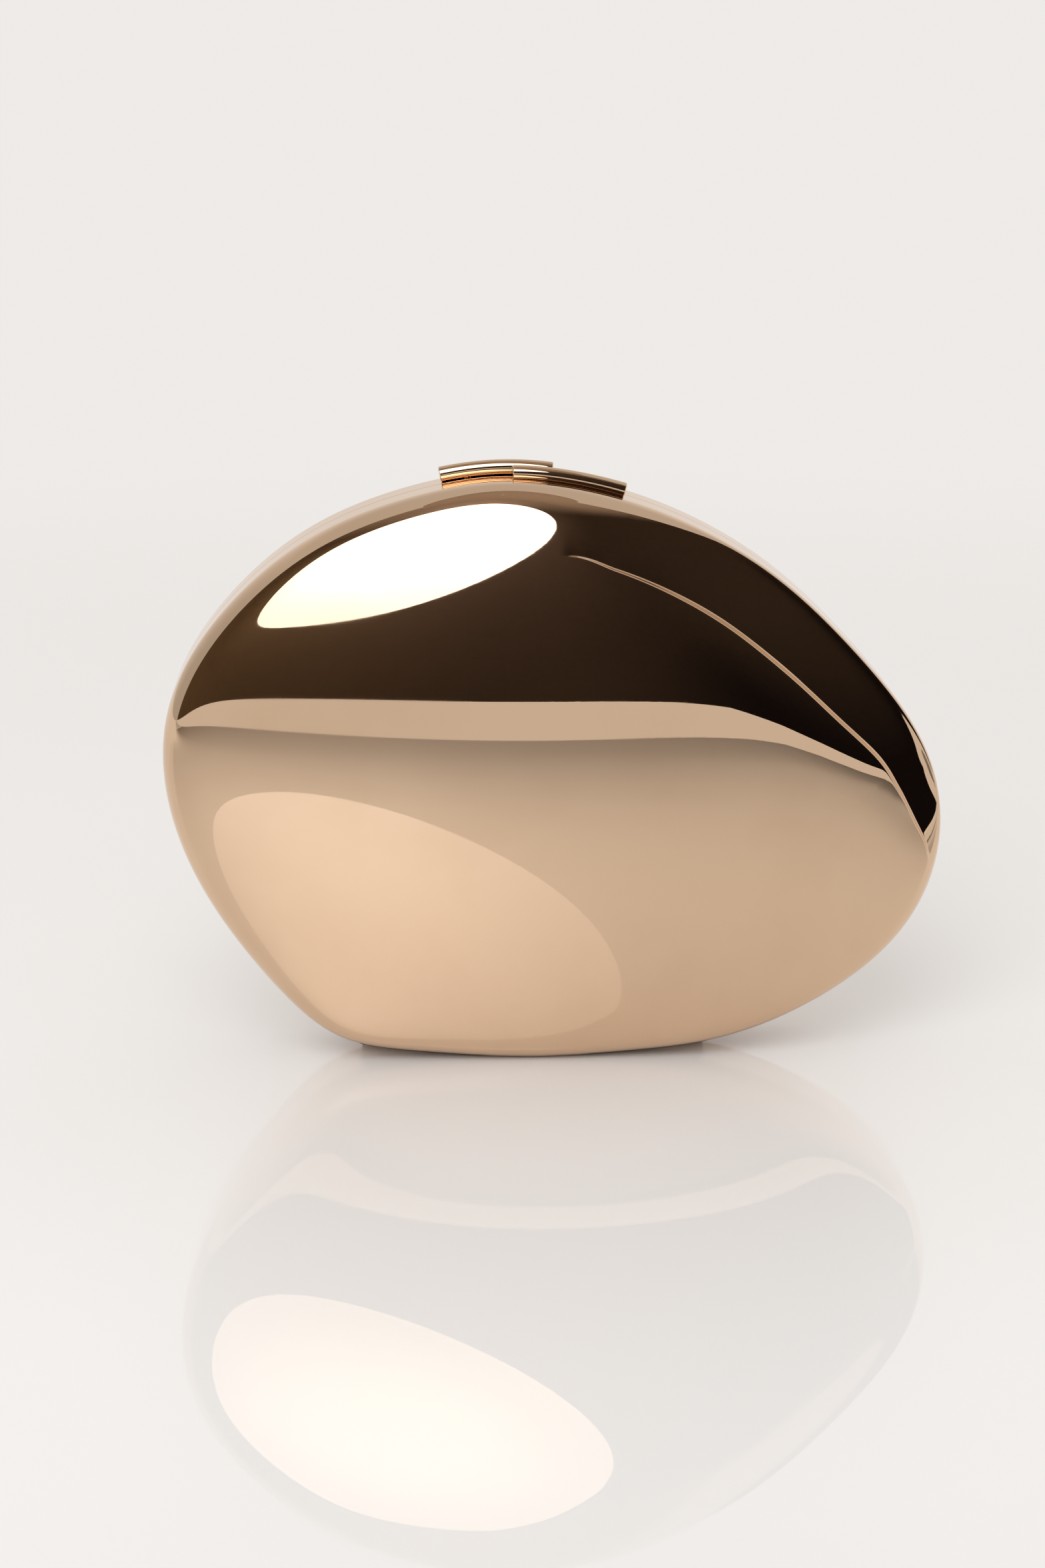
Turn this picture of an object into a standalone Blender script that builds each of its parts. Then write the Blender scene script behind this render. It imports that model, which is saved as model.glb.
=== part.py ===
"""Hard-shell evening clutch with a leaf-shaped fold, modelled at its real size.

Two dished metal shells meet at the seam plane, y = 0, with the photographed front
towards -Y and +X to the right. They turn apart on a knuckle hinge under the bottom
edge and close with two curved clasp bars on top. Metres, +Z up; the origin is the
middle of the base.
"""
import math

import bmesh
import bpy
import numpy as np
from mathutils import Matrix, Vector

MM = 0.001

# Overall sizes
WIDTH = 190 * MM
HEIGHT = 144.2 * MM
HALF_DEPTH = 29 * MM
BASE_TRIM = 0.5 * MM
TOUCH_GAP = 0.3 * MM
SEAM_GAP = 0.3 * MM
OVERRUN = 2 * MM

# Pressed shells
SHELL_WALL = 1.2 * MM
RIM_WALL = 6.8 * MM
RIM_ROUND = 9 * MM
DOME_EDGE_SHARE = 0.32
DOME_CENTRE_SHARE = 0.52
DOME_FLOOR = 2.4 * MM
ROUND_POWER = 4

# Closed outline, as shares of the width and the height, from the right, upwards
OUTLINE_SHARES = (
    (0.492, 0.488), (0.419, 0.658), (0.323, 0.792), (0.222, 0.891), (0.117, 0.956),
    (-0.004, 0.995), (-0.126, 0.992), (-0.253, 0.944), (-0.376, 0.843), (-0.472, 0.685),
    (-0.498, 0.493), (-0.449, 0.297), (-0.359, 0.129), (-0.267, 0.034), (-0.147, 0.009),
    (-0.012, 0.000), (0.115, 0.010), (0.250, 0.042), (0.387, 0.136), (0.483, 0.290),
)

# Fold: its crest runs from the upper middle to the right tip
CREST_SHARES = (
    (0.003, 0.891), (0.073, 0.866), (0.146, 0.824), (0.216, 0.768), (0.288, 0.691), (0.353, 0.610),
    (0.409, 0.537), (0.438, 0.478), (0.458, 0.427), (0.474, 0.384), (0.4865, 0.327),
)
CREST_LEAD_SHARES = ((-0.330, 0.560), (-0.250, 0.720), (-0.120, 0.860))
SHOULDER_DROP = 0.9 * MM
SHOULDER_WIDTH = 15 * MM
STEP_DROP = 2.4 * MM
STEP_FOOT = 0.4 * MM
VALLEY_FALL = 3.2 * MM
FOLD_RISE_SHARE = 0.4
CREASE_START_SHARE = 0.35
CREASE_RISE_SHARE = 0.08
TIP_FADE_SHARE = 0.22
TIP_LIP_SHARE = 0.03
TIP_WIDTH_SHARE = 0.4

# Inner rim frames
FRAME_THICK = 1.6 * MM
FRAME_DEPTH = 4.7 * MM
HINGE_RAIL_TOP = 8 * MM

# Hinge
HINGE_CENTRE_X = -5 * MM
HINGE_LENGTH = 86 * MM
HINGE_KNUCKLES = 15
BARREL_RADIUS = 1.6 * MM
BARREL_LIFT = 0.1 * MM
PIN_RADIUS = 0.6 * MM
LEAF_THICK = 0.8 * MM
RIVET_COUNT = 5
RIVET_RADIUS = 0.8 * MM
RIVET_END_MARGIN = 6 * MM

# Clasp
BAR_RADIUS = 1.85 * MM
BAR_SIDE = 2.6 * MM
BAR_LIFT = 0.3 * MM
BACK_BAR_LEFT = -27 * MM
BACK_BAR_RIGHT = -0.5 * MM
FRONT_BAR_LEFT = -10 * MM
FRONT_BAR_RIGHT = 16.5 * MM
STUD_RADIUS = 1.0 * MM
STUD_SHARES = (0.24, 0.76)
STUD_TAIL = 0.4 * MM
WASHER_THICK = 0.4 * MM
WASHER_RADIUS = 2.2 * MM
NUT_THICK = 1.5 * MM
SEAT_CLEAR = 0.2 * MM
NUT_RADIUS = 2.15 * MM

# Lining
LINING_THICK = 0.8 * MM
LINING_SLACK = 0.6 * MM
LINING_DOME_DROP = 2.6 * MM
LINING_FLOOR = 0.9 * MM
PIPING_RADIUS = 0.6 * MM

# Mesh steps
SHELL_COLUMNS = 60
LINING_COLUMNS = 44
DENSE_STEPS = 1440
ROUND_STEPS = 12
NUT_SIDES = 6

# Places that follow from the sizes above
DOME_RISE = HALF_DEPTH - RIM_WALL
CLEAR_RADIUS = TOUCH_GAP
TAB_STEP = TOUCH_GAP / 6
HINGE_AXIS_Z = BARREL_LIFT + BARREL_RADIUS
FRAME_OUT = SHELL_WALL + TOUCH_GAP
FRAME_IN = FRAME_OUT + FRAME_THICK
FRAME_MOUTH = SEAM_GAP / 2 + TOUCH_GAP / 2
FRAME_BACK = FRAME_MOUTH + FRAME_DEPTH
LEAF_NEAR = TOUCH_GAP
LEAF_FAR = LEAF_NEAR + LEAF_THICK
LEAF_SLOT = LEAF_FAR + TOUCH_GAP
LEAF_FOOT = HINGE_AXIS_Z + BARREL_RADIUS + TOUCH_GAP
LEAF_TOP = HINGE_RAIL_TOP - TOUCH_GAP
BARREL_SLOT = BARREL_RADIUS + TOUCH_GAP + TOUCH_GAP / 3


def clear_scene():
    """Remove every object that the scene holds."""
    for item in list(bpy.data.objects):
        bpy.data.objects.remove(item, do_unlink=True)


def new_collection(name):
    group = bpy.data.collections.new(name)
    bpy.context.scene.collection.children.link(group)
    return group


def finish(name, colour, metallic, roughness):
    """A plain surface finish with the part's colour."""
    material = bpy.data.materials.new(name)
    material.use_nodes = True
    shader = material.node_tree.nodes["Principled BSDF"]
    shader.inputs["Base Color"].default_value = (*colour, 1.0)
    shader.inputs["Metallic"].default_value = metallic
    shader.inputs["Roughness"].default_value = roughness
    material.diffuse_color = (*colour, 1.0)
    return material


# Outline and height of a shell

def closed_curve(shares, count):
    """Closed curve through equally spaced points, as the sum of whole waves that meets them."""
    points = np.array(shares)
    waves = np.fft.fftfreq(len(points), 1 / len(points))
    weights = np.fft.fft(points[:, 0] + 1j * points[:, 1]) / len(points)
    turns = 2 * np.pi * np.arange(count) / count
    curve = (weights * np.exp(1j * waves * turns[:, None])).sum(axis=1)
    return np.stack([curve.real, curve.imag], axis=1)


def outline():
    """Dense seam outline in x and z, stretched to the width and height, base trimmed flat."""
    curve = closed_curve(OUTLINE_SHARES, DENSE_STEPS)
    low = curve.min(axis=0)
    high = curve.max(axis=0)
    unit = (curve - low) / (high - low)
    x = (unit[:, 0] - 0.5) * WIDTH
    z = unit[:, 1] * (HEIGHT + BASE_TRIM) - BASE_TRIM
    return np.stack([x, z], axis=1)


def outward_normals(curve):
    """Unit normals in the x-z plane of a closed curve that runs anticlockwise."""
    along = np.roll(curve, -1, axis=0) - np.roll(curve, 1, axis=0)
    along /= np.linalg.norm(along, axis=1, keepdims=True)
    return np.stack([along[:, 1], -along[:, 0]], axis=1)


OUTLINE = outline()
OUTLINE_NORMALS = outward_normals(OUTLINE)
DOME_CENTRE = np.array([0.0, DOME_CENTRE_SHARE * HEIGHT])


def through_points(shares, steps):
    """Open smooth curve through points, each stretch bent to the slopes of its neighbours."""
    points = np.array(shares) * (WIDTH, HEIGHT)
    slopes = np.gradient(points, axis=0)
    t = np.linspace(0, 1, steps, endpoint=False)[:, None]
    stretches = []
    for k in range(len(points) - 1):
        stretches.append(
            points[k] * (2 * t**3 - 3 * t**2 + 1)
            + slopes[k] * (t**3 - 2 * t**2 + t)
            + points[k + 1] * (3 * t**2 - 2 * t**3)
            + slopes[k + 1] * (t**3 - t**2)
        )
    stretches.append(points[-1:])
    return np.concatenate(stretches)


SPINE_STEPS = 24
SPINE = through_points(CREST_LEAD_SHARES + CREST_SHARES, SPINE_STEPS)
CREST = SPINE[SPINE_STEPS * len(CREST_LEAD_SHARES):]


def lengths_along(curve):
    """Distance travelled along a curve up to each of its points."""
    steps = np.linalg.norm(np.diff(curve, axis=0), axis=1)
    return np.concatenate([[0.0], np.cumsum(steps)])


def smooth_step(value):
    """0 below 0, 1 above 1, and a smooth rise between."""
    t = np.clip(value, 0.0, 1.0)
    return t * t * t * (t * (6 * t - 15) + 10)


def rim_place(points):
    """Radial fraction from the dome's centre to the outline, and the distance to the rim."""
    spread = points - DOME_CENTRE
    reach = OUTLINE - DOME_CENTRE
    angle = np.arctan2(reach[:, 1], reach[:, 0])
    order = np.argsort(angle)
    radius = np.linalg.norm(reach, axis=1)
    square = (OUTLINE_NORMALS * reach).sum(axis=1) / radius
    at = np.arctan2(spread[:, 1], spread[:, 0])
    full = np.interp(at, angle[order], radius[order], period=2 * np.pi)
    lean = np.interp(at, angle[order], square[order], period=2 * np.pi)
    fraction = np.linalg.norm(spread, axis=1) / full
    return fraction, (1 - fraction) * full * lean


def fold_place(points):
    """Signed distance from the crest, positive towards the rim, and the place along it."""
    along = np.gradient(CREST, axis=0)
    along /= np.linalg.norm(along, axis=1, keepdims=True)
    travelled = lengths_along(CREST)
    gaps = points[:, None, :] - CREST[None, :, :]
    nearest = (gaps**2).sum(axis=2).argmin(axis=1)
    rows = np.arange(len(points))
    gap = gaps[rows, nearest]
    tangent = along[nearest]
    forward = (gap * tangent).sum(axis=1)
    side = gap[:, 1] * tangent[:, 0] - gap[:, 0] * tangent[:, 1]
    place = (travelled[nearest] + forward) / travelled[-1]
    return side, np.clip(place, 0.0, 1.0)


def fold_depths(place):
    """Drops of the shoulder, the step and the valley, and the shoulder's width, along the crest."""
    from_tip = np.clip((1 - place) / TIP_FADE_SHARE, 0.0, 1.0)
    tip = (1 - (1 - from_tip) ** 2) * smooth_step((1 - place) / TIP_LIP_SHARE)
    grown = smooth_step(place / FOLD_RISE_SHARE) * tip
    started = smooth_step(place / CREASE_RISE_SHARE) * tip
    step = STEP_DROP * (grown + CREASE_START_SHARE * (started - grown))
    width = SHOULDER_WIDTH * (TIP_WIDTH_SHARE + (1 - TIP_WIDTH_SHARE) * from_tip)
    return SHOULDER_DROP * grown, step, VALLEY_FALL * grown, width


def valley_share(side, rim_distance):
    """Share of the way from the crest to the rim, zero before the crest."""
    beyond = np.clip(side, 0.0, None)
    return beyond / (beyond + np.clip(rim_distance, TOUCH_GAP, None))


def fold_drop(points, rim_distance):
    """How far the fold lowers the dome: a rolled shoulder, a steep step and a falling valley."""
    side, place = fold_place(points)
    shoulder, step, valley, width = fold_depths(place)
    roll = np.clip(1 + np.clip(side, None, 0.0) / width, 0.0, 1.0) ** 3
    edge = 1 - np.exp(-((np.clip(side, 0.0, None) / STEP_FOOT) ** 2))
    return shoulder * roll + step * edge + valley * valley_share(side, rim_distance)


def lining_drop(points, rim_distance):
    """A wide smooth drop of the lining that stays clear of the fold from inside."""
    side, place = fold_place(points)
    shoulder, step, valley, _ = fold_depths(np.clip(place, 0.0, 1 - TIP_FADE_SHARE))
    start = -(SHELL_WALL + LINING_DOME_DROP + FRAME_BACK)
    stop = -(SHELL_WALL + TOUCH_GAP)
    rise = smooth_step((side - start) / (stop - start))
    return (shoulder + step) * rise + valley * valley_share(side - stop, rim_distance)


def dome_height(points, inset, rounding, lowering, floor, drop):
    """Height over the rim wall: a crowned dome over a floor, rounded off at the rim."""
    fraction, rim_distance = rim_place(points)
    spread = (points - DOME_CENTRE) / (WIDTH / 2, HEIGHT / 2)
    even = (spread**2).sum(axis=1)
    crown = even + (fraction**2 - even) * fraction**4
    dome = DOME_RISE * (1 - (1 - DOME_EDGE_SHARE) * crown)
    dome = np.clip(dome - lowering - drop(points, rim_distance), 0.0, None)
    dome = (dome**ROUND_POWER + floor**ROUND_POWER) ** (1 / ROUND_POWER)
    near = np.clip(rim_distance - inset, 0.0, None)
    rim = np.sqrt(2 * rounding * near) / fraction**2 + TOUCH_GAP / 100
    return (dome**-ROUND_POWER + rim**-ROUND_POWER) ** (-1 / ROUND_POWER)


# Meshes of shells

def spread_along(path, count):
    """Points evenly spaced along a path, both ends included."""
    travelled = lengths_along(path)
    at = np.linspace(0, travelled[-1], count)
    return np.stack([np.interp(at, travelled, path[:, 0]), np.interp(at, travelled, path[:, 1])], axis=1)


def straight_ahead(curve, start, heading):
    """Index of the curve's point that a ray from a start meets."""
    spread = curve - start
    spread /= np.linalg.norm(spread, axis=1, keepdims=True)
    return int(np.argmax(spread @ heading))


def rim_ring(columns, inset):
    """Points along the outline, inset along its normals, half on each side of the spine's ends."""
    half = columns // 2
    curve = OUTLINE - OUTLINE_NORMALS * inset
    curve = np.roll(curve, -straight_ahead(curve, SPINE[-1], SPINE[-1] - SPINE[-SPINE_STEPS]), axis=0)
    left = straight_ahead(curve, SPINE[0], SPINE[0] - SPINE[SPINE_STEPS])
    upper = spread_along(curve[:left + 1], half + 1)
    lower = spread_along(np.concatenate([curve[left:], curve[:1]])[::-1], half + 1)
    ring = np.concatenate([upper, lower[-2:0:-1]])
    ring[:, 1] = np.maximum(ring[:, 1], inset)
    return ring


def spine_points(columns):
    """Points along the spine from right to left, and the one that each column ends on."""
    half = columns // 2
    slit = np.concatenate([np.arange(half + 1), np.arange(half - 1, 0, -1)])
    return spread_along(SPINE[::-1], half + 1), slit


def row_shares(length, near_rim, near_spine, middle_rows):
    """Shares of each column's length: close rows at the rim and at the spine, even between."""
    rows = []
    for distance, cap in near_rim:
        rows.append(np.minimum(distance / length, cap))
    inner = []
    for distance, cap in near_spine:
        inner.append(1 - np.minimum(distance / length, cap))
    for step in range(1, middle_rows + 1):
        mix = step / (middle_rows + 1)
        rows.append(rows[len(near_rim) - 1] * (1 - mix) + inner[0] * mix)
    return rows + inner


SHELL_RIM_ROWS = ((0.25 * MM, 0.03), (1.2 * MM, 0.08), (3.2 * MM, 0.18), (7 * MM, 0.34))
SHELL_SPINE_ROWS = ((5 * MM, 0.45), (1.2 * MM, 0.2))
LINING_RIM_ROWS = ((0.5 * MM, 0.05), (3 * MM, 0.2))
LINING_SPINE_ROWS = ((8 * MM, 0.4),)
MIDDLE_ROW_COUNT = 2


def dished_surface(
    name, side, columns, inset, mouth, rounding, lowering, floor, drop, rim_rows, spine_rows
):
    """Open dished surface: a straight rim wall, then rows that close on the spine.

    Each point lies between the outline and the spine; its depth is the rim wall plus
    the dome's height there. The side is -1 for the front half and 1 for the back half.
    """
    ring = rim_ring(columns, inset)
    spine, slit = spine_points(columns)
    inner = spine[slit]
    length = np.linalg.norm(inner - ring, axis=1)
    layers = [(ring, np.full(columns, mouth)), (ring, np.full(columns, RIM_WALL))]
    for share in row_shares(length, rim_rows, spine_rows, MIDDLE_ROW_COUNT):
        points = ring + (inner - ring) * share[:, None]
        height = dome_height(points, inset, rounding, lowering, floor, drop)
        layers.append((points, RIM_WALL + height))
    height = dome_height(spine, inset, rounding, lowering, floor, drop)
    layers.append((spine, RIM_WALL + height))
    vertices = []
    for points, depth in layers:
        vertices.append(np.stack([points[:, 0], side * depth, points[:, 1]], axis=1))
    vertices = np.concatenate(vertices)
    count = len(layers) - 1
    index = [np.arange(columns) + row * columns for row in range(count)]
    index.append(slit + count * columns)
    faces = []
    for row in range(count):
        near, far = index[row], index[row + 1]
        for k in range(columns):
            after = (k + 1) % columns
            loop = [near[k], near[after], far[after], far[k]]
            corners = [int(v) for n, v in enumerate(loop) if v != loop[n - 1]]
            faces.append(corners if side < 0 else corners[::-1])
    mesh = bpy.data.meshes.new(name)
    mesh.from_pydata(vertices.tolist(), [], faces)
    mesh.update()
    return mesh


# Building helpers

def add_object(name, mesh, group, material):
    item = bpy.data.objects.new(name, mesh)
    group.objects.link(item)
    if material is not None:
        mesh.materials.clear()
        mesh.materials.append(material)
    return item


def add_solidify(item, thickness):
    """Give an open surface its wall, on the inner side."""
    wall = item.modifiers.new("wall", "SOLIDIFY")
    wall.thickness = thickness
    wall.offset = -1
    return wall


def add_boolean(item, cutter, operation):
    cut = item.modifiers.new(operation.lower(), "BOOLEAN")
    cut.operation = operation
    cut.object = cutter
    return cut


def as_guide(item):
    item.hide_render = True
    item.display_type = "WIRE"
    return item


def box_mesh(name, low, high):
    """A box between two corners."""
    low, high = Vector(low), Vector(high)
    size = high - low
    mesh = bpy.data.meshes.new(name)
    shape = bmesh.new()
    bmesh.ops.create_cube(shape, size=1.0)
    bmesh.ops.scale(shape, vec=size, verts=shape.verts)
    bmesh.ops.translate(shape, vec=(low + high) / 2, verts=shape.verts)
    shape.to_mesh(mesh)
    shape.free()
    return mesh


def rod(shape, start, end, radius, steps):
    """Add a capped cylinder between two points to a bmesh."""
    start, end = Vector(start), Vector(end)
    along = end - start
    turn = along.normalized().to_track_quat("Z", "Y").to_matrix().to_4x4()
    place = Matrix.Translation((start + end) / 2) @ turn
    bmesh.ops.create_cone(
        shape, cap_ends=True, segments=steps, radius1=radius, radius2=radius,
        depth=along.length, matrix=place,
    )


def rods_mesh(name, rods, steps):
    """One mesh of separate capped cylinders, each a start, an end and a radius."""
    mesh = bpy.data.meshes.new(name)
    shape = bmesh.new()
    for start, end, radius in rods:
        rod(shape, start, end, radius, steps)
    shape.to_mesh(mesh)
    shape.free()
    return mesh


def mesh_from_curve(item, group, material):
    """Turn a curve object into a mesh object of the same name with welded caps."""
    graph = bpy.context.evaluated_depsgraph_get()
    mesh = bpy.data.meshes.new_from_object(item.evaluated_get(graph))
    name = item.name
    place = item.matrix_world.copy()
    shape = bmesh.new()
    shape.from_mesh(mesh)
    bmesh.ops.remove_doubles(shape, verts=shape.verts, dist=TOUCH_GAP / 30)
    bmesh.ops.recalc_face_normals(shape, faces=shape.faces)
    shape.to_mesh(mesh)
    shape.free()
    bpy.data.objects.remove(item, do_unlink=True)
    made = add_object(name, mesh, group, material)
    made.matrix_world = place
    made.name = name
    return made


def corners_only(points):
    """Leave out the points of a closed ring that lie on a straight run."""
    before = points - np.roll(points, 1, axis=0)
    after = np.roll(points, -1, axis=0) - points
    turn = before[:, 0] * after[:, 1] - before[:, 1] * after[:, 0]
    return points[np.abs(turn) > (TOUCH_GAP / 100) ** 2]


def add_spline(curve, points, cyclic):
    spline = curve.splines.new("POLY")
    spline.points.add(len(points) - 1)
    for point, place in zip(spline.points, points):
        point.co = (*place, 1.0)
    spline.use_cyclic_u = cyclic


# Pieces

def make_shell(side, group, material):
    name = "front_shell" if side < 0 else "back_shell"
    mesh = dished_surface(
        name, side, SHELL_COLUMNS, 0.0, SEAM_GAP / 2, RIM_ROUND, 0.0, DOME_FLOOR, fold_drop,
        SHELL_RIM_ROWS, SHELL_SPINE_ROWS,
    )
    item = add_object(name, mesh, group, material)
    add_solidify(item, SHELL_WALL)
    return item


def make_lining(side, group, material):
    """Padded tray that lines a shell behind its rim frame."""
    name = "front_lining" if side < 0 else "back_lining"
    inset = SHELL_WALL + LINING_SLACK
    mesh = dished_surface(
        name, side, LINING_COLUMNS, inset, FRAME_BACK + TOUCH_GAP, RIM_ROUND - inset,
        LINING_DOME_DROP, LINING_FLOOR, lining_drop, LINING_RIM_ROWS, LINING_SPINE_ROWS,
    )
    item = add_object(name, mesh, group, material)
    add_solidify(item, LINING_THICK)
    return item


def make_frame(side, group, material):
    """Flat ring inside a shell's mouth, with a straight rail along the hinge."""
    name = "front_rim_frame" if side < 0 else "back_rim_frame"
    curve = bpy.data.curves.new(name, "CURVE")
    curve.dimensions = "2D"
    curve.fill_mode = "BOTH"
    curve.extrude = FRAME_DEPTH / 2
    outer = rim_ring(SHELL_COLUMNS, FRAME_OUT)
    inner = rim_ring(SHELL_COLUMNS, FRAME_IN)
    inner[:, 1] = np.maximum(inner[:, 1], HINGE_RAIL_TOP)
    for ring in (outer, inner):
        add_spline(curve, [(x, z, 0.0) for x, z in corners_only(ring)], True)
    item = bpy.data.objects.new(name, curve)
    group.objects.link(item)
    item.rotation_euler = (math.radians(90), 0, 0)
    item.location = (0, side * (FRAME_MOUTH + FRAME_DEPTH / 2), 0)
    bpy.context.view_layer.update()
    return mesh_from_curve(item, group, material)


def hinge_cutters(group):
    """Slots that free the barrel and the leaves at the bottom of shells and frames."""
    left = HINGE_CENTRE_X - HINGE_LENGTH / 2 - TOUCH_GAP
    right = HINGE_CENTRE_X + HINGE_LENGTH / 2 + TOUCH_GAP
    slots = []
    for name, reach, top in (
        ("barrel_slot", BARREL_SLOT, LEAF_FOOT),
        ("leaf_slot", LEAF_SLOT, HINGE_RAIL_TOP + OVERRUN),
    ):
        mesh = box_mesh(name, (left, -reach, -OVERRUN), (right, reach, top))
        slots.append(as_guide(add_object(name, mesh, group, None)))
    return slots


def knuckle_spans():
    """Start and end in x of each knuckle, from left to right."""
    pitch = HINGE_LENGTH / HINGE_KNUCKLES
    start = HINGE_CENTRE_X - HINGE_LENGTH / 2
    spans = []
    for k in range(HINGE_KNUCKLES):
        spans.append((start + k * pitch + TOUCH_GAP / 2, start + (k + 1) * pitch - TOUCH_GAP / 2))
    return spans


def rivet_places():
    """Evenly spaced x of the hinge rivets."""
    half = HINGE_LENGTH / 2 - RIVET_END_MARGIN
    return np.linspace(HINGE_CENTRE_X - half, HINGE_CENTRE_X + half, RIVET_COUNT)


RIVET_Z = (LEAF_FOOT + LEAF_TOP) / 2 + TOUCH_GAP


def make_leaf(side, group, cutters, material):
    """Leaf plate with every other knuckle; the back half holds both end knuckles."""
    name = "front_hinge_leaf" if side < 0 else "back_hinge_leaf"
    own = 1 if side < 0 else 0
    spans = knuckle_spans()
    low = min(side * LEAF_NEAR, side * LEAF_FAR)
    high = max(side * LEAF_NEAR, side * LEAF_FAR)
    inset = own * (spans[1][0] - spans[0][0])
    left, right = spans[0][0] + inset + TAB_STEP, spans[-1][1] - inset - TAB_STEP
    plate = box_mesh(name, (left, low, HINGE_AXIS_Z), (right, high, LEAF_TOP))
    item = add_object(name, plate, group, material)
    tubes = []
    for start, end in spans[own::2]:
        tubes.append(((start, 0, HINGE_AXIS_Z), (end, 0, HINGE_AXIS_Z), BARREL_RADIUS))
    tubes = rods_mesh(f"{name}_knuckles", tubes, ROUND_STEPS)
    add_boolean(item, as_guide(add_object(f"{name}_knuckles", tubes, cutters, None)), "UNION")
    for k, (start, end) in enumerate(spans[1 - own::2]):
        if start < left or end > right:
            continue
        clear = TOUCH_GAP + TAB_STEP
        low_corner = (start - clear, -BARREL_SLOT, HINGE_AXIS_Z - BARREL_SLOT)
        gap = box_mesh(f"{name}_gap_{k}", low_corner, (end + clear, BARREL_SLOT, LEAF_FOOT))
        add_boolean(item, as_guide(add_object(f"{name}_gap_{k}", gap, cutters, None)), "DIFFERENCE")
    ends = ((spans[0][0] - OVERRUN, 0, HINGE_AXIS_Z), (spans[-1][1] + OVERRUN, 0, HINGE_AXIS_Z))
    bore = rods_mesh(f"{name}_bore", [(*ends, PIN_RADIUS + CLEAR_RADIUS)], ROUND_STEPS)
    add_boolean(item, as_guide(add_object(f"{name}_bore", bore, cutters, None)), "DIFFERENCE")
    return item


def make_rivets(side, group, material):
    """Flush rivets that hold a leaf to the rail of its rim frame."""
    half = "front" if side < 0 else "back"
    rivets = []
    for k, x in enumerate(rivet_places()):
        name = f"{half}_hinge_rivet_{k + 1}"
        ends = ((x, side * LEAF_NEAR, RIVET_Z), (x, side * FRAME_BACK, RIVET_Z))
        mesh = rods_mesh(name, [(*ends, RIVET_RADIUS)], ROUND_STEPS)
        rivets.append(add_object(name, mesh, group, material))
    return rivets


def rivet_cutter(side, group):
    name = "front_rivet_holes" if side < 0 else "back_rivet_holes"
    rods = []
    far = side * (FRAME_BACK + OVERRUN)
    for x in rivet_places():
        rods.append(((x, 0, RIVET_Z), (x, far, RIVET_Z), RIVET_RADIUS + CLEAR_RADIUS))
    return as_guide(add_object(name, rods_mesh(name, rods, ROUND_STEPS), group, None))


def make_pin(group, material):
    spans = knuckle_spans()
    ends = ((spans[0][0], 0, HINGE_AXIS_Z), (spans[-1][1], 0, HINGE_AXIS_Z))
    mesh = rods_mesh("hinge_pin", [(*ends, PIN_RADIUS)], ROUND_STEPS)
    return add_object("hinge_pin", mesh, group, material)


def top_place(x):
    """Point on the top of the outline at an x, and its outward normal."""
    top = OUTLINE[:, 1] > DOME_CENTRE[1]
    order = np.argsort(OUTLINE[top, 0])
    known = OUTLINE[top, 0][order]
    z = np.interp(x, known, OUTLINE[top, 1][order])
    nx = np.interp(x, known, OUTLINE_NORMALS[top, 0][order])
    nz = np.interp(x, known, OUTLINE_NORMALS[top, 1][order])
    return Vector((x, 0, z)), Vector((nx, 0, nz)).normalized()


BAR_POINTS = 9


def clasp_sizes(side):
    """Left and right end of a half's clasp bar."""
    if side < 0:
        return FRONT_BAR_LEFT, FRONT_BAR_RIGHT
    return BACK_BAR_LEFT, BACK_BAR_RIGHT


def stud_places(side):
    """Foot on the outline and outward direction of each stud of a half's clasp bar."""
    left, right = clasp_sizes(side)
    places = []
    for share in STUD_SHARES:
        foot, outward = top_place(left + (right - left) * share)
        places.append((foot + Vector((0, side * BAR_SIDE, 0)), outward))
    return places


def make_bar(side, group, cutters, material):
    """Curved round bar over the rim, with two studs brazed under it."""
    name = "front_clasp_bar" if side < 0 else "back_clasp_bar"
    left, right = clasp_sizes(side)
    rise = BAR_RADIUS + BAR_LIFT
    curve = bpy.data.curves.new(name, "CURVE")
    curve.dimensions = "3D"
    curve.bevel_depth = BAR_RADIUS
    curve.bevel_resolution = 2
    curve.use_fill_caps = True
    path = []
    for x in np.linspace(left, right, BAR_POINTS):
        foot, outward = top_place(x)
        path.append(foot + outward * rise + Vector((0, side * BAR_SIDE, 0)))
    add_spline(curve, path, False)
    item = bpy.data.objects.new(name, curve)
    group.objects.link(item)
    bpy.context.view_layer.update()
    item = mesh_from_curve(item, group, material)
    tail = FRAME_IN + TOUCH_GAP + SEAT_CLEAR + WASHER_THICK + TOUCH_GAP + NUT_THICK + STUD_TAIL
    for k, (foot, outward) in enumerate(stud_places(side)):
        ends = (foot + outward * rise, foot - outward * tail)
        stud = rods_mesh(f"{name}_stud_{k}", [(*ends, STUD_RADIUS)], ROUND_STEPS)
        add_boolean(item, as_guide(add_object(f"{name}_stud_{k}", stud, cutters, None)), "UNION")
    return item


def stud_cutter(side, group):
    name = "front_stud_holes" if side < 0 else "back_stud_holes"
    rods = []
    for foot, outward in stud_places(side):
        ends = (foot + outward * OVERRUN, foot - outward * (FRAME_IN + OVERRUN))
        rods.append((*ends, STUD_RADIUS + CLEAR_RADIUS))
    return as_guide(add_object(name, rods_mesh(name, rods, ROUND_STEPS), group, None))


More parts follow.
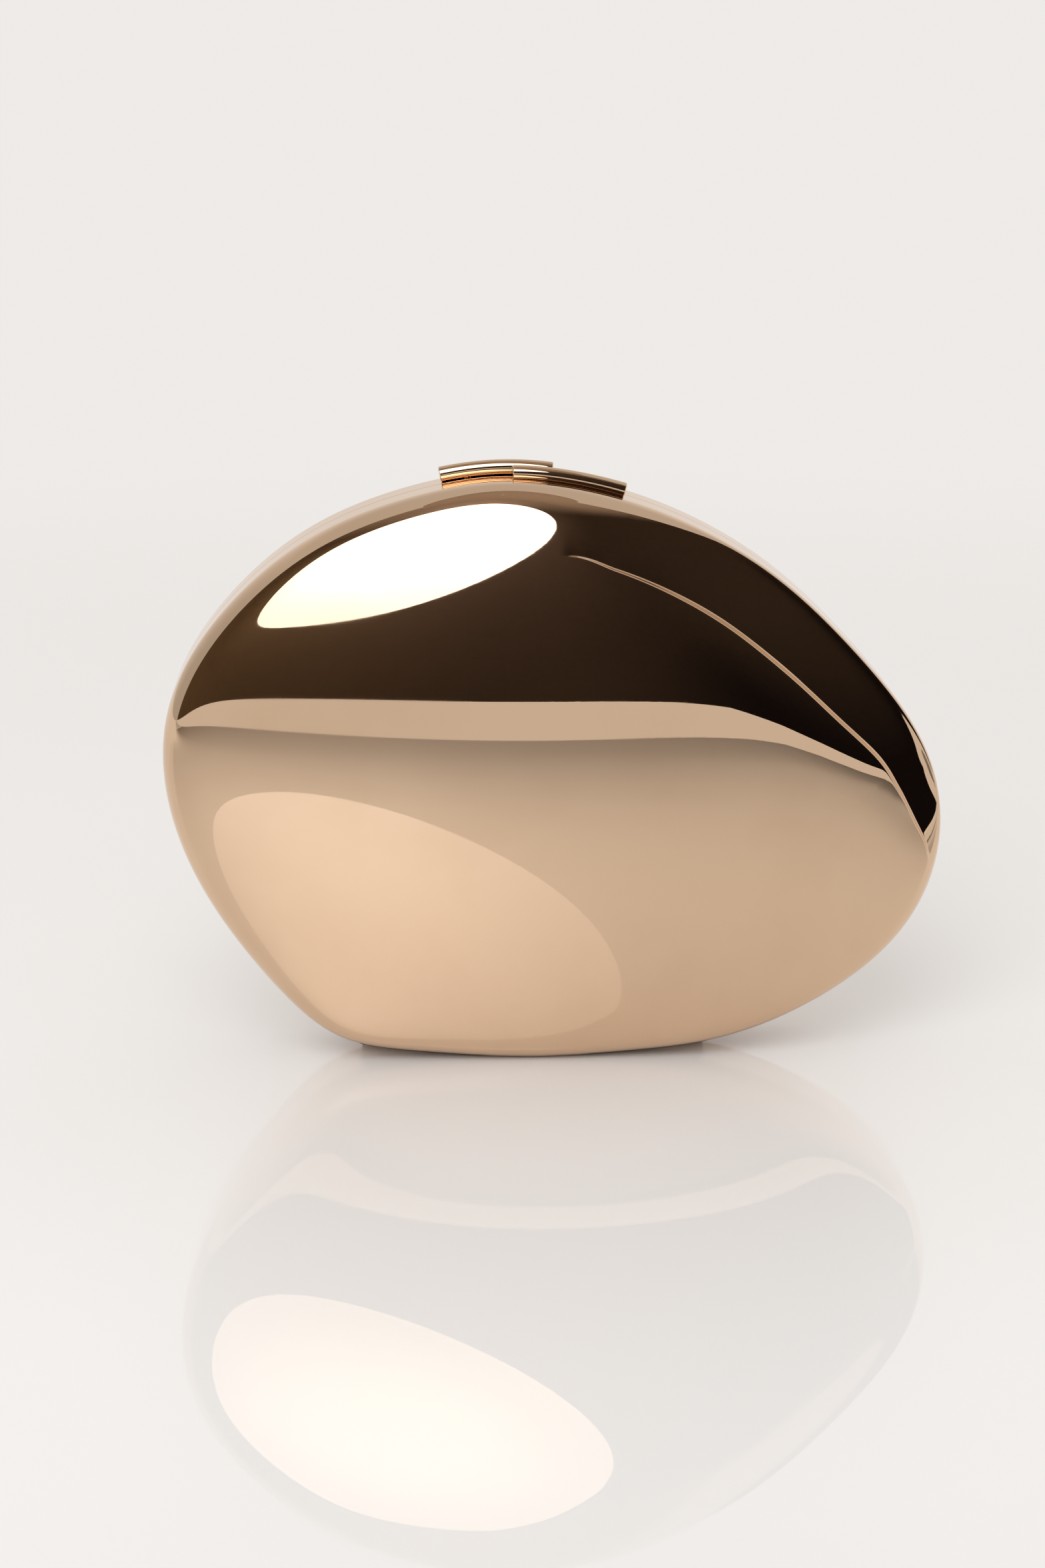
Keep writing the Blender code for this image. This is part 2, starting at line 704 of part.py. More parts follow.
def make_fasteners(kind, side, group, cutters, material, start, thick, radius, steps):
    """A washer or a nut on each stud of a clasp bar, with a clear bore."""
    half = "front" if side < 0 else "back"
    made = []
    for label, (foot, outward) in zip(("left", "right"), stud_places(side)):
        name = f"{half}_clasp_{kind}_{label}"
        body = (foot - outward * start, foot - outward * (start + thick), radius)
        hole = (
            foot - outward * (start - OVERRUN),
            foot - outward * (start + thick + OVERRUN),
            STUD_RADIUS + CLEAR_RADIUS,
        )
        item = add_object(name, rods_mesh(name, [body], steps), group, material)
        bore = rods_mesh(f"{name}_bore", [hole], ROUND_STEPS)
        add_boolean(item, as_guide(add_object(f"{name}_bore", bore, cutters, None)), "DIFFERENCE")
        made.append(item)
    return made


def make_piping(side, group, material):
    """Cord that covers the joint between a lining and its rim frame."""
    name = "front_piping" if side < 0 else "back_piping"
    inset = SHELL_WALL + LINING_SLACK + LINING_THICK + 2 * TOUCH_GAP + PIPING_RADIUS
    depth = FRAME_BACK + TOUCH_GAP + PIPING_RADIUS
    curve = bpy.data.curves.new(name, "CURVE")
    curve.dimensions = "3D"
    curve.bevel_depth = PIPING_RADIUS
    curve.bevel_resolution = 1
    ring = rim_ring(LINING_COLUMNS, inset)
    add_spline(curve, [(x, side * depth, z) for x, z in ring], True)
    item = bpy.data.objects.new(name, curve)
    group.objects.link(item)
    bpy.context.view_layer.update()
    return mesh_from_curve(item, group, material)


def hold(item, carrier):
    """Parent an object to its half and keep its place."""
    item.parent = carrier
    item.matrix_parent_inverse = carrier.matrix_world.inverted()


def shade(item):
    """Smooth shading with sharp edges kept on crisp corners."""
    item.data.shade_smooth()
    item.data.set_sharp_from_angle(angle=math.radians(40))


def build():
    clear_scene()
    parts = new_collection("evening_clutch")
    cutters = new_collection("cutters")
    gold = finish("polished_gold", (0.83, 0.65, 0.46), 1.0, 0.06)
    brass = finish("brass_fastener", (0.72, 0.56, 0.34), 1.0, 0.3)
    steel = finish("hinge_steel", (0.6, 0.58, 0.56), 1.0, 0.25)
    satin = finish("lining_satin", (0.62, 0.5, 0.38), 0.0, 0.6)
    cord = finish("piping_cord", (0.7, 0.56, 0.4), 0.0, 0.55)

    slots = hinge_cutters(cutters)
    for side, label in ((1, "back_half"), (-1, "front_half")):
        carrier = bpy.data.objects.new(label, None)
        parts.objects.link(carrier)
        if side < 0:
            carrier.location = (HINGE_CENTRE_X, 0, HINGE_AXIS_Z)
        bpy.context.view_layer.update()
        shell = make_shell(side, parts, gold)
        frame = make_frame(side, parts, gold)
        leaf = make_leaf(side, parts, cutters, gold)
        rivet_holes = rivet_cutter(side, cutters)
        stud_holes = stud_cutter(side, cutters)
        for item in (shell, frame):
            for slot in slots:
                add_boolean(item, slot, "DIFFERENCE")
            add_boolean(item, stud_holes, "DIFFERENCE")
        for item in (shell, frame, leaf):
            add_boolean(item, rivet_holes, "DIFFERENCE")
        washer_start = FRAME_IN + TOUCH_GAP + SEAT_CLEAR
        nut_start = washer_start + WASHER_THICK + TOUCH_GAP
        pieces = [
            shell,
            frame,
            leaf,
            *make_rivets(side, parts, brass),
            make_bar(side, parts, cutters, gold),
            *make_fasteners(
                "washer", side, parts, cutters, brass,
                washer_start, WASHER_THICK, WASHER_RADIUS, ROUND_STEPS,
            ),
            *make_fasteners(
                "nut", side, parts, cutters, brass,
                nut_start, NUT_THICK, NUT_RADIUS, NUT_SIDES,
            ),
            make_lining(side, parts, satin),
            make_piping(side, parts, cord),
        ]
        if side > 0:
            pieces.append(make_pin(parts, steel))
        for piece in pieces:
            shade(piece)
            hold(piece, carrier)
    bpy.context.view_layer.update()


build()
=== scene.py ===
"""Evening clutch in mirror-polished pale gold: fine surfaces, finishes, table and studio.

The clutch's lengths are in millimetres up to the point where a mesh is made, which turns
them to metres. The depths of the bumps and the lengths of the studio are in metres.
The front half faces -Y, the seam plane is y = 0 and the table is z = 0.
"""

import math

import bpy
import numpy as np
from mathutils import Matrix, Vector


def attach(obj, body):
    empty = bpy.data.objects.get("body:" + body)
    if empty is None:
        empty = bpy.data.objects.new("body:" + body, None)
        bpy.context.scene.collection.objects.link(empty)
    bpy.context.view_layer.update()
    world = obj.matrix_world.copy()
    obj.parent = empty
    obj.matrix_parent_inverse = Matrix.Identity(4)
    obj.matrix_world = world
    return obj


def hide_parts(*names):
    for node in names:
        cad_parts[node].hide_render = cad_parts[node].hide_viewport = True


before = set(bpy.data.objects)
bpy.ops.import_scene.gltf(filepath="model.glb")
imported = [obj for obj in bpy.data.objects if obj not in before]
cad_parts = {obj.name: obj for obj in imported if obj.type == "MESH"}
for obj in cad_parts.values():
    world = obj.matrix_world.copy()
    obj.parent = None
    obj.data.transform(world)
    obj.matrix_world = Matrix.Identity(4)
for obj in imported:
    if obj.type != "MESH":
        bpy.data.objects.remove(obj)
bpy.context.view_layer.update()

MM = 0.001

# Shell
WIDTH = 190.0
HEIGHT = 144.2
HALF_DEPTH = 29.0
BASE_TRIM = 0.5
MOUTH = 0.15
TOUCH = 0.3
SHELL_WALL = 1.2
RIM_WALL = 6.8
RIM_ROUND = 9.0
DOME_RISE = HALF_DEPTH - RIM_WALL
DOME_EDGE_SHARE = 0.32
DOME_CENTRE_SHARE = 0.52
DOME_FLOOR = 2.4
ROUND_POWER = 4
OUTLINE_SHARES = (
    (0.492, 0.488), (0.419, 0.658), (0.323, 0.792), (0.222, 0.891), (0.117, 0.956),
    (-0.004, 0.995), (-0.126, 0.992), (-0.253, 0.944), (-0.376, 0.843), (-0.472, 0.685),
    (-0.498, 0.493), (-0.449, 0.297), (-0.359, 0.129), (-0.267, 0.034), (-0.147, 0.009),
    (-0.012, 0.000), (0.115, 0.010), (0.250, 0.042), (0.387, 0.136), (0.483, 0.290),
)

# Fold
CREST_SHARES = (
    (0.003, 0.891), (0.073, 0.866), (0.146, 0.824), (0.216, 0.768), (0.288, 0.691), (0.353, 0.610),
    (0.409, 0.537), (0.438, 0.478), (0.458, 0.427), (0.474, 0.384), (0.4865, 0.327),
)
CREST_LEAD_SHARES = ((-0.330, 0.560), (-0.250, 0.720), (-0.120, 0.860))
CREST_ROUND = 0.15
SHOULDER_DROP = 0.9
SHOULDER_WIDTH = 15.0
STEP_DROP = 2.4
STEP_FOOT = 0.3
VALLEY_FALL = 3.2
FOLD_RISE_SHARE = 0.4
CREASE_START_SHARE = 0.28
CREASE_RISE_SHARE = 0.1
LINE_DEPTH = 0.35
LINE_REACH = 2.5
LINE_RISE_SHARE = 0.03
TIP_FADE_SHARE = 0.22
TIP_LIP_SHARE = 0.03
TIP_WIDTH_SHARE = 0.4

# Hinge slot
HINGE_CENTRE_X = -5.0
HINGE_LENGTH = 86.0
BARREL_SLOT = 2.0
SLOT_CORNER = 0.05

# Clasp
BAR_RADIUS = 1.85
BAR_SIDE = 2.6
BAR_CHAMFER = 0.2
CLASP = {
    "front": {"left": -10.0, "right": 16.5, "lift": -0.5},
    "back": {"left": -27.0, "right": -0.5, "lift": 0.0},
}
STUD_RADIUS = 1.0
STUD_SHARES = (0.24, 0.76)
STUD_LENGTH = 6.2

# Lining
LINING_INSET = 1.8
LINING_MOUTH = 5.3
LINING_THICK = 0.8
LINING_DOME_DROP = 2.6
LINING_FLOOR = 0.9
LINING_FOLD_START = -8.8
LINING_FOLD_STOP = -1.5
PIPING_RADIUS = 0.6
PIPING_INSET = 3.8
PIPING_DEPTH = 5.9

# Mesh fineness
DENSE_STEPS = 20000
SPINE_STEPS = 400
CREST_STATIONS = 60
CREST_ROUNDS = 6
SHELL_COLUMNS = 400
LINING_COLUMNS = 300
SLOPE_STEP = 0.01
LEAST_SLOPE_STEP = 0.0001
RIM_STEP_SHARE = 0.2
CROWDED_SHARE = 0.8
LEAST_DISTANCE = 1e-9
CORD_SIDES = 16
BAR_STATIONS = 41
BAR_SIDES = 48
STUD_STATIONS = 12
STUD_SIDES = 24
SHARP_ANGLE = math.radians(35)

# Rim reach and rows, spine reach and rows, middle rows
SHELL_ROWS = (10.0, 18, 8.0, 14, 20)
LINING_ROWS = (9.0, 8, 8.0, 3, 10)

# Inward pull and depth of each row round the mouth
SHELL_MOUTH_ROWS = (
    (0.1, MOUTH), (0.03, MOUTH + 0.03), (0.0, MOUTH + 0.1), (0.0, 2.2), (0.0, 4.6), (0.0, RIM_WALL),
)
LINING_MOUTH_ROWS = ((0.0, LINING_MOUTH), (0.0, 6.0), (0.0, RIM_WALL))

HALVES = {"front": -1, "back": 1}


# Outline and dome

def closed_curve(shares, count):
    """Sum of whole waves through equally spaced points, sampled evenly in its parameter."""
    points = np.array(shares)
    waves = np.fft.fftfreq(len(points), 1 / len(points))
    weights = np.fft.fft(points[:, 0] + 1j * points[:, 1]) / len(points)
    turns = 2 * np.pi * np.arange(count) / count
    curve = np.zeros(count, complex)
    for wave, weight in zip(waves, weights):
        curve += weight * np.exp(1j * wave * turns)
    return np.stack([curve.real, curve.imag], axis=1)


def outline():
    """Seam outline in x and z, stretched to the width and the height plus what the base loses."""
    curve = closed_curve(OUTLINE_SHARES, DENSE_STEPS)
    low, high = curve.min(axis=0), curve.max(axis=0)
    unit = (curve - low) / (high - low)
    x = (unit[:, 0] - 0.5) * WIDTH
    z = unit[:, 1] * (HEIGHT + BASE_TRIM) - BASE_TRIM
    return np.stack([x, z], axis=1)


def outward_normals(curve):
    """Chord between each point's neighbours, turned a quarter clockwise."""
    along = np.roll(curve, -1, axis=0) - np.roll(curve, 1, axis=0)
    along /= np.linalg.norm(along, axis=1, keepdims=True)
    return np.stack([along[:, 1], -along[:, 0]], axis=1)


OUTLINE = outline()
OUTLINE_NORMALS = outward_normals(OUTLINE)
DOME_CENTRE = np.array([0.0, DOME_CENTRE_SHARE * HEIGHT])


def through_points(shares, steps):
    """Cubic stretch between neighbours, with each point's slope taken from the points beside it."""
    points = np.array(shares) * (WIDTH, HEIGHT)
    slopes = np.gradient(points, axis=0)
    t = np.linspace(0, 1, steps, endpoint=False)[:, None]
    stretches = []
    for k in range(len(points) - 1):
        stretches.append(
            points[k] * (2 * t**3 - 3 * t**2 + 1)
            + slopes[k] * (t**3 - 2 * t**2 + t)
            + points[k + 1] * (3 * t**2 - 2 * t**3)
            + slopes[k + 1] * (t**3 - t**2)
        )
    stretches.append(points[-1:])
    return np.concatenate(stretches)


def lengths_along(curve):
    """Running sum of the distances between neighbours."""
    steps = np.linalg.norm(np.diff(curve, axis=0), axis=1)
    return np.concatenate([[0.0], np.cumsum(steps)])


SPINE = through_points(CREST_LEAD_SHARES + CREST_SHARES, SPINE_STEPS)
CREST = SPINE[SPINE_STEPS * len(CREST_LEAD_SHARES):]
CREST_TRAVEL = lengths_along(CREST)
CREST_ALONG = np.gradient(CREST, axis=0)
CREST_ALONG /= np.linalg.norm(CREST_ALONG, axis=1, keepdims=True)


def at_travel(table, travel):
    """Columns of a table read at a distance along the crest."""
    return np.stack([np.interp(travel, CREST_TRAVEL, table[:, k]) for k in range(2)], axis=1)


def smooth_step(value):
    """Six t to the fifth, less fifteen t to the fourth, plus ten t cubed."""
    t = np.clip(value, 0.0, 1.0)
    return t * t * t * (t * (6 * t - 15) + 10)


REACH = OUTLINE - DOME_CENTRE
REACH_ANGLE = np.arctan2(REACH[:, 1], REACH[:, 0])
REACH_ORDER = np.argsort(REACH_ANGLE)
REACH_ANGLE = REACH_ANGLE[REACH_ORDER]
REACH_RADIUS = np.linalg.norm(REACH, axis=1)[REACH_ORDER]
REACH_LEAN = (OUTLINE_NORMALS * REACH).sum(axis=1)[REACH_ORDER] / REACH_RADIUS


def rim_place(points):
    """Distance from the centre over the outline's distance that way, and what is left of it."""
    spread = points - DOME_CENTRE
    at = np.arctan2(spread[:, 1], spread[:, 0])
    full = np.interp(at, REACH_ANGLE, REACH_RADIUS, period=2 * np.pi)
    lean = np.interp(at, REACH_ANGLE, REACH_LEAN, period=2 * np.pi)
    fraction = np.linalg.norm(spread, axis=1) / full
    return fraction, (1 - fraction) * full * lean


def fold_place(points):
    """Foot of the perpendicular on the crest: signed distance to it and its share of the length.

    The nearest of a few stations is the first guess, and each round moves it on by what
    the point lies ahead of it.
    """
    stations = np.linspace(0, len(CREST) - 1, CREST_STATIONS).astype(int)
    gaps = points[:, None, :] - CREST[None, stations, :]
    travel = CREST_TRAVEL[stations[(gaps**2).sum(axis=2).argmin(axis=1)]]
    for _ in range(CREST_ROUNDS):
        gap = points - at_travel(CREST, travel)
        ahead = (gap * at_travel(CREST_ALONG, travel)).sum(axis=1)
        travel = np.clip(travel + ahead, 0.0, CREST_TRAVEL[-1])
    gap = points - at_travel(CREST, travel)
    along = at_travel(CREST_ALONG, travel)
    return gap[:, 1] * along[:, 0] - gap[:, 0] * along[:, 1], travel / CREST_TRAVEL[-1]


def fold_depths(place):
    """Drops of the shoulder, the step and the valley, and the shoulder's width.

    Each drop is a smooth rise from the start times an end: one less the square of what is
    left of the end's length, times a short smooth lip at the very tip.
    """
    from_tip = np.clip((1 - place) / TIP_FADE_SHARE, 0.0, 1.0)
    tip = (1 - (1 - from_tip) ** 2) * smooth_step((1 - place) / TIP_LIP_SHARE)
    grown = smooth_step(place / FOLD_RISE_SHARE) * tip
    started = smooth_step(place / CREASE_RISE_SHARE) * tip
    step = STEP_DROP * (grown + CREASE_START_SHARE * (started - grown))
    width = SHOULDER_WIDTH * (TIP_WIDTH_SHARE + (1 - TIP_WIDTH_SHARE) * from_tip)
    return SHOULDER_DROP * grown, step, VALLEY_FALL * grown, width


def valley_share(side, rim_distance):
    """Share of the way from the crest to the rim, zero before the crest."""
    beyond = np.clip(side, 0.0, None)
    return beyond / (beyond + np.clip(rim_distance, TOUCH, None))


def fold_drop(points, rim_distance):
    """A cube up to the crest, one less a bell curve beyond it, and a steady fall on to the rim.

    Near its start the crease is a line pressed a little deeper, which dies away with the
    distance from the crest.
    """
    side, place = fold_place(points)
    shoulder, step, valley, width = fold_depths(place)
    soft = np.sqrt(side**2 + CREST_ROUND**2)
    beyond = (side + soft) / 2
    roll = np.clip(1 + (side - soft) / 2 / width, 0.0, 1.0) ** 3
    edge = 1 - np.exp(-((beyond / STEP_FOOT) ** 2))
    started = smooth_step(place / LINE_RISE_SHARE)
    line = LINE_DEPTH * started * (1 - smooth_step(place / FOLD_RISE_SHARE))
    pressed = step + line * np.exp(-beyond / LINE_REACH)
    return shoulder * roll + pressed * edge + valley * valley_share(beyond, rim_distance)


def lining_drop(points, rim_distance):
    """The shoulder and the step as one smooth rise before the crest, and the valley's fall."""
    side, place = fold_place(points)
    shoulder, step, valley, _ = fold_depths(np.clip(place, 0.0, 1 - TIP_FADE_SHARE))
    start, stop = LINING_FOLD_START, LINING_FOLD_STOP
    rise = smooth_step((side - start) / (stop - start))
    return (shoulder + step) * rise + valley * valley_share(side - stop, rim_distance)


def dome_height(points, inset, rounding, lowering, floor, drop):
    """Power mean of the dome and a root of the rim distance, which is the rim's rounding."""
    fraction, rim_distance = rim_place(points)
    spread = (points - DOME_CENTRE) / (WIDTH / 2, HEIGHT / 2)
    even = (spread**2).sum(axis=1)
    crown = even + (fraction**2 - even) * fraction**4
    full = DOME_RISE * (1 - (1 - DOME_EDGE_SHARE) * crown)
    dome = np.clip(full - lowering - drop(points, rim_distance), 0.0, None)
    dome = (dome**ROUND_POWER + floor**ROUND_POWER) ** (1 / ROUND_POWER)
    near = np.clip(rim_distance - inset, LEAST_DISTANCE, None)
    rim = np.sqrt(2 * rounding * near) / fraction**2
    return (dome**-ROUND_POWER + rim**-ROUND_POWER) ** (-1 / ROUND_POWER)


def shell_height(points):
    """Height of the shell's dome over the rim wall, with the fold."""
    return dome_height(points, 0.0, RIM_ROUND, 0.0, DOME_FLOOR, fold_drop)


def lining_height(points):
    """Height of the lining's dome, which is lower and starts further in."""
    rounding = RIM_ROUND - LINING_INSET
    return dome_height(points, LINING_INSET, rounding, LINING_DOME_DROP, LINING_FLOOR, lining_drop)


# Grids between the rim and the spine

def straight_ahead(curve, start, heading):
    """Index of the point whose direction from the start lies closest to the heading."""
    spread = curve - start
    spread /= np.linalg.norm(spread, axis=1, keepdims=True)
    return int(np.argmax(spread @ heading))


def read_path(path, travelled, at):
    """Points of a path at given distances along it."""
    return np.stack([np.interp(at, travelled, path[:, k]) for k in range(2)], axis=1)


def slot_travel(path, travelled):
    """Distances along the lower rim at which the hinge slot begins and ends."""
    reach = HINGE_LENGTH / 2 + 2 * MOUTH
    return [np.interp(-(HINGE_CENTRE_X + way * reach), -path[:, 0], travelled) for way in (1, -1)]


def rim_ring(columns, inset, slot=False):
    """Even distances along the upper and the lower rim, from the right end of the spine to the left.

    With a slot, the two columns beside each of its corners close up on it.
    """
    half = columns // 2
    curve = OUTLINE - OUTLINE_NORMALS * inset
    right = straight_ahead(curve, SPINE[-1], SPINE[-1] - SPINE[-SPINE_STEPS])
    curve = np.roll(curve, -right, axis=0)
    left = straight_ahead(curve, SPINE[0], SPINE[0] - SPINE[SPINE_STEPS])
    rings = []
    for path in (curve[:left + 1], np.concatenate([curve[left:], curve[:1]])[::-1]):
        travelled = lengths_along(path)
        at = np.linspace(0, travelled[-1], half + 1)
        if slot and len(rings) == 1:
            for corner in slot_travel(path, travelled):
                k = int(np.searchsorted(at, corner))
                at[k - 1], at[k] = corner - SLOT_CORNER, corner + SLOT_CORNER
        rings.append(read_path(path, travelled, at))
    ring = np.concatenate([rings[0], rings[1][-2:0:-1]])
    ring[:, 1] = np.maximum(ring[:, 1], inset)
    return ring


def spine_points(columns):
    """Even points along the spine from right to left, and the one that each column ends on."""
    half = columns // 2
    path = SPINE[::-1]
    travelled = lengths_along(path)
    slit = np.concatenate([np.arange(half + 1), np.arange(half - 1, 0, -1)])
    return read_path(path, travelled, np.linspace(0, travelled[-1], half + 1)), slit


def row_shares(length, rim_reach, rim_rows, spine_reach, spine_rows, middle_rows):
    """Shares of each column's length, squared spacing away from the rim and from the spine.

    A short column has its rows by the rim and by the spine shrunk to fit.
    """
    shrink = np.minimum(1.0, CROWDED_SHARE * length / (rim_reach + spine_reach))
    near = rim_reach * (np.arange(1, rim_rows + 1) / rim_rows) ** 2
    far = spine_reach * (np.arange(spine_rows, 0, -1) / spine_rows) ** 2
    first = near[:, None] * shrink / length
    last = 1 - far[:, None] * shrink / length
    mix = (np.arange(1, middle_rows + 1) / (middle_rows + 1))[:, None]
    middle = first[-1] * (1 - mix) + last[0] * mix
    return np.concatenate([first, middle, last])


def slope_normals(points, height):
    """Upward normals in x, depth, z from the height's change over a short step each way."""
    _, rim_distance = rim_place(points)
    step = np.clip(RIM_STEP_SHARE * rim_distance, LEAST_SLOPE_STEP, SLOPE_STEP)
    slopes = []
    for axis in ((1.0, 0.0), (0.0, 1.0)):
        move = np.array(axis) * step[:, None]
        slopes.append((height(points + move) - height(points - move)) / (2 * step))
    normal = np.stack([-slopes[0], np.ones(len(points)), -slopes[1]], axis=1)
    return normal / np.linalg.norm(normal, axis=1, keepdims=True)


def ring_normals(ring):
    """Outward normals of a ring, turned from its chords, level with the seam plane."""
    along = np.roll(ring, -1, axis=0) - np.roll(ring, 1, axis=0)
    along /= np.linalg.norm(along, axis=1, keepdims=True)
    return np.stack([along[:, 1], np.zeros(len(ring)), -along[:, 0]], axis=1)


# Meshes

def make_piece(name, vertices, faces, body, material, normals=None, uv=None):
    """A mesh object at the origin, in metres, smooth, riding on a body."""
    mesh = bpy.data.meshes.new(name)
    mesh.from_pydata((np.asarray(vertices) * MM).tolist(), [], faces)
    mesh.update()
    if uv is not None:
        layer = mesh.uv_layers.new(name="surface")
        corners = np.empty(len(mesh.loops), np.int32)
        mesh.loops.foreach_get("vertex_index", corners)
        layer.data.foreach_set("uv", np.asarray(uv, np.float32)[corners].ravel())
    mesh.shade_smooth()
    if normals is not None:
        mesh.normals_split_custom_set_from_vertices(normals.tolist())
    mesh.materials.append(material)
    piece = bpy.data.objects.new(name, mesh)
    bpy.context.scene.collection.objects.link(piece)
    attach(piece, body)
    return piece


def grid_faces(near, far, flip):
    """Faces between two closed rows of vertex numbers, a triangle where a row repeats one."""
    after_near, after_far = np.roll(near, -1), np.roll(far, -1)
    loops = np.stack([near, after_near, after_far, far], axis=1)
    if flip:
        loops = loops[:, ::-1]
    return [list(dict.fromkeys(loop)) for loop in loops.tolist()]


def dished_piece(
    name, side, body, material, columns, inset, mouth_rows, height, thickness, rows, slot=False,
):
    """A dished wall: rows round the mouth, rows over the dome to the spine, and the same inside.

    A point lies between the outline and the spine, as deep as the rim wall plus the
    dome's height there. The inner wall is the outer one moved back along its normals.
    """
    ring = rim_ring(columns, inset, slot)
    spine, slit = spine_points(columns)
    outward = ring_normals(ring)
    inner = spine[slit]
    length = np.linalg.norm(inner - ring, axis=1)
    layers, normals = [], []
    for pull, depth in mouth_rows:
        depths = np.full(columns, depth)
        if slot:
            reach = HINGE_LENGTH / 2 + 2 * MOUTH
            near_hinge = np.abs(ring[:, 0] - HINGE_CENTRE_X) < reach
            inside = near_hinge & (ring[:, 1] < DOME_CENTRE[1])
            depths = np.where(inside, np.maximum(depths, BARREL_SLOT + depth - MOUTH), depths)
        flat = ring - outward[:, ::2] * pull
        layers.append(np.stack([flat[:, 0], depths, flat[:, 1]], axis=1))
        normals.append(outward)
    for share in row_shares(length, *rows):
        points = ring + (inner - ring) * share[:, None]
        layers.append(np.stack([points[:, 0], RIM_WALL + height(points), points[:, 1]], axis=1))
        normals.append(slope_normals(points, height))
    layers.append(np.stack([spine[:, 0], RIM_WALL + height(spine), spine[:, 1]], axis=1))
    normals.append(slope_normals(spine, height))
    outer = np.concatenate(layers)
    facing = np.concatenate(normals)
    back = outer - facing * thickness
    vertices = np.concatenate([outer, back]) * (1, side, 1)
    custom = np.concatenate([facing, -facing]) * (1, side, 1)
    count = len(layers) - 1
    index = [np.arange(columns) + row * columns for row in range(count)] + [slit + count * columns]
    faces = []
    for row in range(count):
        faces += grid_faces(index[row], index[row + 1], side > 0)
        faces += grid_faces(index[row] + len(outer), index[row + 1] + len(outer), side < 0)
    faces += grid_faces(index[0] + len(outer), index[0], side > 0)
    around = np.concatenate([np.tile(np.arange(columns), count), np.arange(len(spine))]) / columns
    across = np.concatenate([np.repeat(np.arange(count), columns), np.full(len(spine), count)])
    across = across / count
    uv = np.tile(np.stack([around, across], axis=1), (2, 1))
    return make_piece(name, vertices, faces, body, material, custom, uv)


def tube_mesh(path, radii, across, segments, closed=False):
    """A circle carried along a path, square to it, with its radius at each station.

    Across is a vector that no part of the path follows; it fixes where the circle starts.
    The circle turns left-handed about the path, so the faces are flipped to point outwards.
    """
    path = np.asarray(path, float)
    if closed:
        along = np.roll(path, -1, axis=0) - np.roll(path, 1, axis=0)
    else:
        along = np.gradient(path, axis=0)
    along /= np.linalg.norm(along, axis=1, keepdims=True)
    side = np.cross(along, across)
    side /= np.linalg.norm(side, axis=1, keepdims=True)
    up = np.cross(side, along)
    turn = 2 * np.pi * np.arange(segments) / segments
    aside = side[:, None, :] * np.cos(turn)[None, :, None]
    above = up[:, None, :] * np.sin(turn)[None, :, None]
    circle = (aside + above) * np.asarray(radii)[:, None, None]
    vertices = (path[:, None, :] + circle).reshape(-1, 3)
    count = len(path)
    faces = []
    for k in range(count if closed else count - 1):
        near = np.arange(segments) + k * segments
        far = np.arange(segments) + (k + 1) % count * segments
        faces += grid_faces(near, far, True)
    if not closed:
        faces.append(list(range(segments)))
        faces.append([(count - 1) * segments + k for k in range(segments)][::-1])
    return vertices, faces


def joined(meshes):
    """Vertices and faces of several meshes put one after the other."""
    vertices, faces, start = [], [], 0
    for points, loops in meshes:
        vertices.append(points)
        faces += [[k + start for k in loop] for loop in loops]
        start += len(points)
    return np.concatenate(vertices), faces


# Finishes

SMUDGE_SPAN = (0.45, 0.75)
SCRATCH_SPAN = (0.62, 0.78)
SCRATCH_TURN = (0.4, 0.3, 0.7)
SCRATCH_STRETCH = (1.0, 0.15, 0.06)
SCRATCH_SHARE = 0.35
SCRATCH_DEPTH = 0.00002
CROSSING_HEIGHT = 0.35
CLOTH_CLOUD_SCALE = 45.0
THREAD_DEPTH = 0.00006
THREAD_RELIEF = 0.4
SHEEN = 0.4
SHEEN_ROUGHNESS = 0.35


def new_material(name):
    """A material that uses nodes, its node tree and its main shader."""
    material = bpy.data.materials.new(name)
    material.use_nodes = True
    tree = material.node_tree
    return material, tree, tree.nodes["Principled BSDF"]


def add(tree, kind, values=None, **settings):
    """A node with its settings, and values for its inputs by name or number."""
    node = tree.nodes.new(kind)
    for key, value in settings.items():
        setattr(node, key, value)
    for key, value in (values or {}).items():
        node.inputs[key].default_value = value
    return node


def feed(tree, socket, value):
    """Link an output to an input, or write a plain value into it."""
    if isinstance(value, bpy.types.NodeSocket):
        tree.links.new(value, socket)
    else:
        socket.default_value = value


def maths(tree, operation, *values):
    """Output of a Math node that is fed with outputs or numbers."""
    node = add(tree, "ShaderNodeMath", operation=operation)
    for socket, value in zip(node.inputs, values):
        feed(tree, socket, value)
    return node.outputs["Value"]


def ramp(tree, source, low, high, first=0.0, last=1.0, smooth=True):
    """Output that goes from the first value to the last as the source goes from low to high."""
    kind = "SMOOTHSTEP" if smooth else "LINEAR"
    ends = {"From Min": low, "From Max": high}
    node = add(tree, "ShaderNodeMapRange", ends, interpolation_type=kind)
    tree.links.new(source, node.inputs["Value"])
    feed(tree, node.inputs["To Min"], first)
    feed(tree, node.inputs["To Max"], last)
    return node.outputs["Result"]


def mixed(tree, factor, first, last):
    """Output of a mix of two colours, each an output or a plain colour."""
    node = add(tree, "ShaderNodeMix", data_type="RGBA")
    for name, value in (("Factor", factor), ("A", first), ("B", last)):
        feed(tree, node.inputs[name], value)
    return node.outputs["Result"]


def noise(tree, place, scale, detail, roughness=0.5):
    """Output of a noise texture at a place."""
    node = add(tree, "ShaderNodeTexNoise", {"Detail": detail, "Roughness": roughness})
    tree.links.new(place, node.inputs["Vector"])
    feed(tree, node.inputs["Scale"], scale)
    return node.outputs["Fac"]


